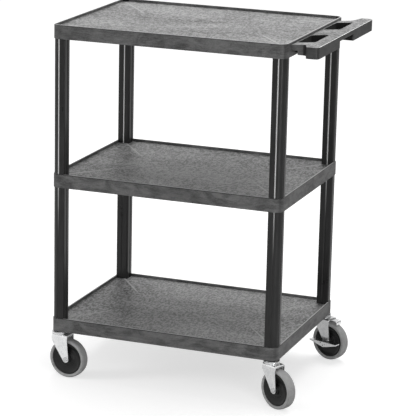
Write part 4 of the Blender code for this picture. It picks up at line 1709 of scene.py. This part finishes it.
    def lower_race(self, floor: float, rim: float) -> Thing:
        """Models the lower race as a pressed cup with a rolled lip.

        Args:
            floor: Level of its underside.
            rim: Level of its lip.

        Returns:
            The cup.
        """
        bore, inside = self.race_bore, floor + self.race_sheet
        shape = [(bore, floor), *steps_from(self.race_radius, floor, self.cup_foot)]
        shape += steps_from(self.race_radius, rim, self.cup_lip)
        shape += [(shape[-1][0], inside), (bore, inside)]
        cup = Hand.turn("race_cup", shape, 64)
        Hand.smooth(cup, 40)
        return cup

    def stem(self, foot: float, top: float, tip: float) -> Thing:
        """Models the stem, the upper race and the kingpin as one turned piece.

        Args:
            foot: Level of the kingpin's foot.
            top: Level of the upper race's top.
            tip: Level of the stem's tip.

        Returns:
            The turned piece.
        """
        race = top - self.race_height
        shape = [(0, foot), *steps_from(self.pin_head, foot, self.pin_edge)]
        shape += [(self.pin_radius, shape[-1][1]), (self.pin_radius, race)]
        shape += steps_from(self.race_radius, race, self.race_slope + self.race_edge)
        shape += [(self.stem_radius, top), *steps_from(self.stem_radius, tip, self.stem_tip), (0, tip)]
        piece = Hand.turn("stem", shape, 64)
        Hand.smooth(piece, 40)
        return piece


@dataclass
class BrakeModel:
    """Patterns for the rocker brake of a back caster."""

    sizes: CasterSizes
    span: float = 0.086
    depth: float = 0.017
    lean: float = 0.002
    foot: float = 0.0105
    head: float = 0.0040
    tip: float = 0.0030
    neck_share: float = 0.30
    neck_rise: float = 0.003
    plate: float = 0.009
    sheet: float = 0.002
    bolt_hole: float = 0.0038
    drill: float = 0.0018
    drills: Profile = ((-0.008, 0.001), (0.006, -0.002), (-0.001, -0.006))
    shoe_start: float = 0.011
    shoe_reach: float = 0.052
    shoe_width: float = 0.020
    shoe_sheet: float = 0.0015
    shoe_lip: float = 0.009
    shoe_bend: float = 0.003
    edge: float = 0.0003

    def pedal(self) -> Thing:
        """Models the pedal: an upright foot plate, its flange and a round plate at the axle.

        Returns:
            The pedal.
        """
        near = -(self.sizes.outer + self.sizes.play)
        half, sheet, head = self.span / 2, self.sheet, self.head
        low = near - self.depth
        side = [(low + self.lean, -self.foot), (low + self.lean + sheet, -self.foot)]
        side += [(low + sheet, head - sheet), (near - sheet, head - sheet), (near - sheet, head), (low, head)]
        pedal = Hand.slab("pedal", [(-half, y, z) for y, z in side], (2 * half, 0, 0))
        front = [(0, -self.foot), (half * self.neck_share, -self.foot + self.neck_rise)]
        front += [(half, head - self.tip), (half, head + sheet)]
        front += [(-x, z) for x, z in reversed(front[1:])]
        trim = Hand.slab("front", upright(front, low - sheet), (0, self.depth + 2 * sheet, 0))
        Hand.carve(pedal, trim, "INTERSECT")
        Hand.carve(pedal, Hand.rod("plate", self.plate, near - sheet, near, 40, True), "UNION")
        Hand.carve(pedal, Hand.rod("hole", self.bolt_hole, near - 2 * sheet, near + sheet, 24, True))
        for x, z in self.drills:
            drill = Hand.rod("drill", self.drill, low - sheet, near - 2 * sheet, 20, True)
            drill.data.transform(Matrix.Translation((x, 0, z)))
            Hand.carve(pedal, drill)
        pedal.data.transform(self.sizes.to_axle)
        Hand.soften(pedal, self.edge)
        return pedal

    def shoe(self) -> Thing:
        """Models the shoe: a strip under the crown with a lip bent down over the tyre.

        Returns:
            The shoe.
        """
        high = self.sizes.crown - self.sizes.sheet - self.sizes.play
        reach, sheet, bend_radius = self.shoe_reach, self.shoe_sheet, self.shoe_bend
        low, half = high - sheet, self.shoe_width / 2
        inside, foot = reach - sheet, low - self.shoe_lip
        centre = (inside - bend_radius, low - bend_radius)
        view = [(self.shoe_start, low), (centre[0], low)]
        view += arc(centre, bend_radius, 90, 0, 5)[1:]
        view += [(inside, foot), (reach, foot)]
        view += arc(centre, bend_radius + sheet, 0, 90, 5)
        view += [(self.shoe_start, high)]
        shoe = Hand.slab("shoe", upright(view, -half), (0, 2 * half, 0))
        Hand.soften(shoe, self.edge, 35)
        return shoe


@dataclass
class Casters:
    """The four casters, copied from one set of patterns."""

    kit: Kit

    def joint(self, name: str) -> Vector:
        """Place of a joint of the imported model."""
        found = next(j for j in frame["joints"] if j["name"] == name)
        return Vector(found["pos_m"])

    def sizes(self) -> CasterSizes:
        """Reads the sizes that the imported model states.

        Returns:
            The sizes.
        """
        swivel = self.joint("caster_swivel_front_right")
        wheel = self.joint("wheel_spin_front_right")
        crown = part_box("fork_front_right")[1].z
        return CasterSizes(trail=(wheel - swivel).xy.length, axle=wheel.z, crown=crown)

    def patterns(self) -> Dict[str, Tuple[Thing, Slot, str]]:
        """Models one of each piece.

        Returns:
            Pattern, slot and kind of body by the kind of node.
        """
        sizes = self.sizes()
        model = CasterModel(sizes)
        brake = BrakeModel(sizes)
        cup_low, cup_high = (corner.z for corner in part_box("race_cup_front_right"))
        pin_foot, stem_tip = (corner.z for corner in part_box("caster_stem_front_right"))
        race_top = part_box("caster_sleeve_front_right")[0].z - sizes.play
        seat = sizes.outer + sizes.play
        braked_seat = seat + brake.sheet + sizes.play
        return {
            "fork": (model.fork(), Slot.ZINC, "swivel"),
            "axle_bolt": (model.bolt(seat), Slot.STEEL, "swivel"),
            "braked_bolt": (model.bolt(braked_seat), Slot.STEEL, "swivel"),
            "axle_nut": (model.nut(), Slot.STEEL, "swivel"),
            "race_cup": (model.lower_race(cup_low, cup_high), Slot.ZINC, "swivel"),
            "caster_stem": (model.stem(pin_foot, race_top, stem_tip), Slot.ZINC, "frame"),
            "tyre": (model.tyre_ring(), Slot.TYRE, "wheel"),
            "hub": (model.hub_disc(), Slot.HUB, "wheel"),
            "brake_pedal": (brake.pedal(), Slot.ZINC, "pedal"),
            "brake_shoe": (brake.shoe(), Slot.ZINC, "swivel"),
        }

    def dress(self) -> None:
        """Models the patterns, copies them to each corner and dresses them."""
        patterns = self.patterns()
        for corner in Corner:
            self.place(corner, patterns)
        for pattern, slot, body in patterns.values():
            bpy.data.objects.remove(pattern)

    def place(self, corner: Corner, patterns: Dict[str, Tuple[Thing, Slot, str]]) -> None:
        """Copies every pattern to one corner.

        Args:
            corner: The corner.
            patterns: Pattern, slot and kind of body by the kind of node.
        """
        swivel = self.joint(f"caster_swivel_{corner.word}")
        away = (self.joint(f"wheel_spin_{corner.word}") - swivel).xy
        turn = Matrix.Rotation(math.atan2(away.y, away.x), 4, "Z")
        spot = Matrix.Translation((swivel.x, swivel.y, 0)) @ turn
        skip = {"axle_bolt"} if corner.braked else {"braked_bolt", "brake_pedal", "brake_shoe"}
        for kind, (pattern, slot, body) in patterns.items():
            if kind in skip:
                continue
            base = "axle_bolt" if kind == "braked_bolt" else kind
            node = f"{base}_{corner.word}"
            rider = body if body == "frame" else f"{body}_{corner.word}"
            self.kit.dress(Hand.copy(pattern, f"{node}_piece", spot), slot, rider, node)
        self.kit.keep(f"race_balls_{corner.word}", Slot.STEEL)
        self.kit.keep(f"bush_{corner.word}", Slot.STEEL)
        self.kit.keep(f"caster_sleeve_{corner.word}", Slot.SLEEVE)


@dataclass
class Frame:
    """The shelves with the handle, and the posts between them."""

    kit: Kit

    def dress(self) -> None:
        """Models and dresses the fixed frame."""
        bottom = Shelf(self.kit, "bottom_shelf", posts_above=True, posts_below=False)
        bottom.dress(bottom.build())
        middle = Shelf(self.kit, "middle_shelf", posts_above=True, posts_below=True)
        middle.dress(middle.build())
        top = Shelf(self.kit, "top_shelf", posts_above=False, posts_below=True)
        shelf = top.build()
        low, high = top.box()
        Hand.carve(shelf, top.flutes())
        Hand.carve(shelf, Handle(high.x, (low.y + high.y) / 2, high.z).build(), "UNION")
        top.dress(shelf)
        Posts(self.kit).dress()


# Studio


@dataclass(frozen=True)
class Lamp:
    """A soft lamp: its place, size and glow, and whether matt faces or mirrored rays see it."""

    name: str
    spot: Place
    size: Point
    glow: float
    lights: bool
    mirrored: bool


LAMPS = (
    Lamp("overhead_softbox", (0.1, 0.9, 3.2), (2.6, 2.6), 3.5, True, False),
    Lamp("front_fill", (1.5, -2.0, 1.1), (1.2, 1.2), 4.2, True, False),
    Lamp("left_strip", (-3.2, -1.9, 1.1), (0.9, 2.4), 8.0, True, False),
    Lamp("right_strip", (3.4, 0.3, 1.2), (0.7, 2.2), 0.8, True, False),
    Lamp("corner_strip", (3.0, -2.7, 0.7), (0.5, 3.2), 11.0, False, True),
)


@dataclass
class Studio:
    """Floor, lamps, world and camera."""

    floor_size: float = 60.0
    floor_level: float = 0.55
    floor_gloss: float = 0.30
    lift_reach: Point = (0.7, 3.2)
    lift: Point = (0.62, 0.80)
    fill: float = 0.40
    low_end: Point = (0.35, 0.75)
    zenith: Point = (0.48, 0.68)
    zenith_glow: float = 0.9
    beside: Point = (0.30, 0.70)
    beside_loss: float = 0.85
    behind: Point = (-0.5, 0.3)
    front_share: float = 0.95
    least_glow: float = 0.06
    lamp_aim: Place = (0, 0, 0.5)
    camera_offset: Place = (1.8970, -5.0355, 1.2992)
    camera_turn: Place = (1.3148, -0.0216, 0.3604)
    lens: float = 187.43
    sensor: float = 36.0
    farthest: float = 200.0

    def floor(self) -> None:
        """Adds the white floor, which keeps the cart's shadow."""
        Hand.free()
        bpy.ops.mesh.primitive_plane_add(size=self.floor_size)
        floor = bpy.context.object
        floor.name = "studio_floor"
        board = Board.named("studio_white")
        seen, gloss, through = board.rays()
        length = {"operation": "LENGTH"}
        away = board.node("ShaderNodeVectorMath", length, {0: board.coordinates()}, "Value")
        glow = (seen + through) * away.ramp(*self.lift_reach, *self.lift) + gloss * self.floor_gloss
        matt = board.node("ShaderNodeBsdfDiffuse", {}, {"Color": grey(self.floor_level)})
        light = board.node("ShaderNodeEmission", {}, {"Color": grey(1.0), "Strength": glow})
        both = board.node("ShaderNodeAddShader", {}, {0: matt, 1: light})
        board.add("ShaderNodeOutputMaterial", {}, {0: both})
        floor.data.materials.append(board.owner)

    def world(self) -> None:
        """Lights the scene softly: white to the camera, and for mirrored rays darker on the right."""
        bpy.context.scene.world = bpy.data.worlds.new("studio_world")
        board = Board(bpy.context.scene.world)
        seen, gloss, through = board.rays()
        x, y, z = board.parts(board.coordinates("Generated"))
        low = 1 - z.ramp(*self.low_end)
        beside = 1 - x.ramp(*self.beside) * self.beside_loss
        behind = y.ramp(*self.behind, self.front_share, 1.0)
        mirrored = low * behind * beside + z.ramp(*self.zenith) * self.zenith_glow + self.least_glow
        white = seen + through
        strength = white + gloss * mirrored + (1 - white - gloss) * self.fill
        back = board.node("ShaderNodeBackground", {}, {"Color": grey(1.0), "Strength": strength})
        board.add("ShaderNodeOutputWorld", {}, {0: back})

    def lamp(self, lamp: Lamp) -> None:
        """Adds a soft lamp that looks at the middle of the cart.

        Args:
            lamp: What it is like.
        """
        data = bpy.data.lights.new(lamp.name, "AREA")
        data.shape = "RECTANGLE"
        data.size, data.size_y = lamp.size
        data.energy = lamp.glow * math.pi * lamp.size[0] * lamp.size[1]
        made = bpy.data.objects.new(lamp.name, data)
        bpy.context.scene.collection.objects.link(made)
        made.location = lamp.spot
        ray = Vector(self.lamp_aim) - Vector(lamp.spot)
        made.rotation_euler = ray.to_track_quat("-Z", "Y").to_euler()
        made.visible_glossy = lamp.mirrored
        made.visible_diffuse = lamp.lights

    def camera(self) -> None:
        """Adds the camera at the photo's viewing angle."""
        data = bpy.data.cameras.new("studio_camera")
        data.lens = self.lens
        data.sensor_width = self.sensor
        data.clip_end = self.farthest
        camera = bpy.data.objects.new("studio_camera", data)
        bpy.context.scene.collection.objects.link(camera)
        rim = Vector((*middle_of("middle_shelf").xy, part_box("middle_shelf")[1].z))
        camera.location = rim + Vector(self.camera_offset)
        camera.rotation_euler = self.camera_turn
        bpy.context.scene.camera = camera

    def build(self) -> None:
        """Sets up the whole studio."""
        self.floor()
        self.world()
        for lamp in LAMPS:
            self.lamp(lamp)
        self.camera()
        bpy.context.scene.view_settings.view_transform = "Standard"


def main() -> None:
    """Builds the sub-assemblies in order and reports each piece."""
    logging.basicConfig(level=logging.INFO, format="%(name)s %(message)s")
    Studio().build()
    kit = Kit()
    Frame(kit).dress()
    Casters(kit).dress()
    for piece in kit.made:
        LOG.info("%s has %d faces", piece.name, len(piece.data.polygons))


if __name__ == "__main__":
    main()
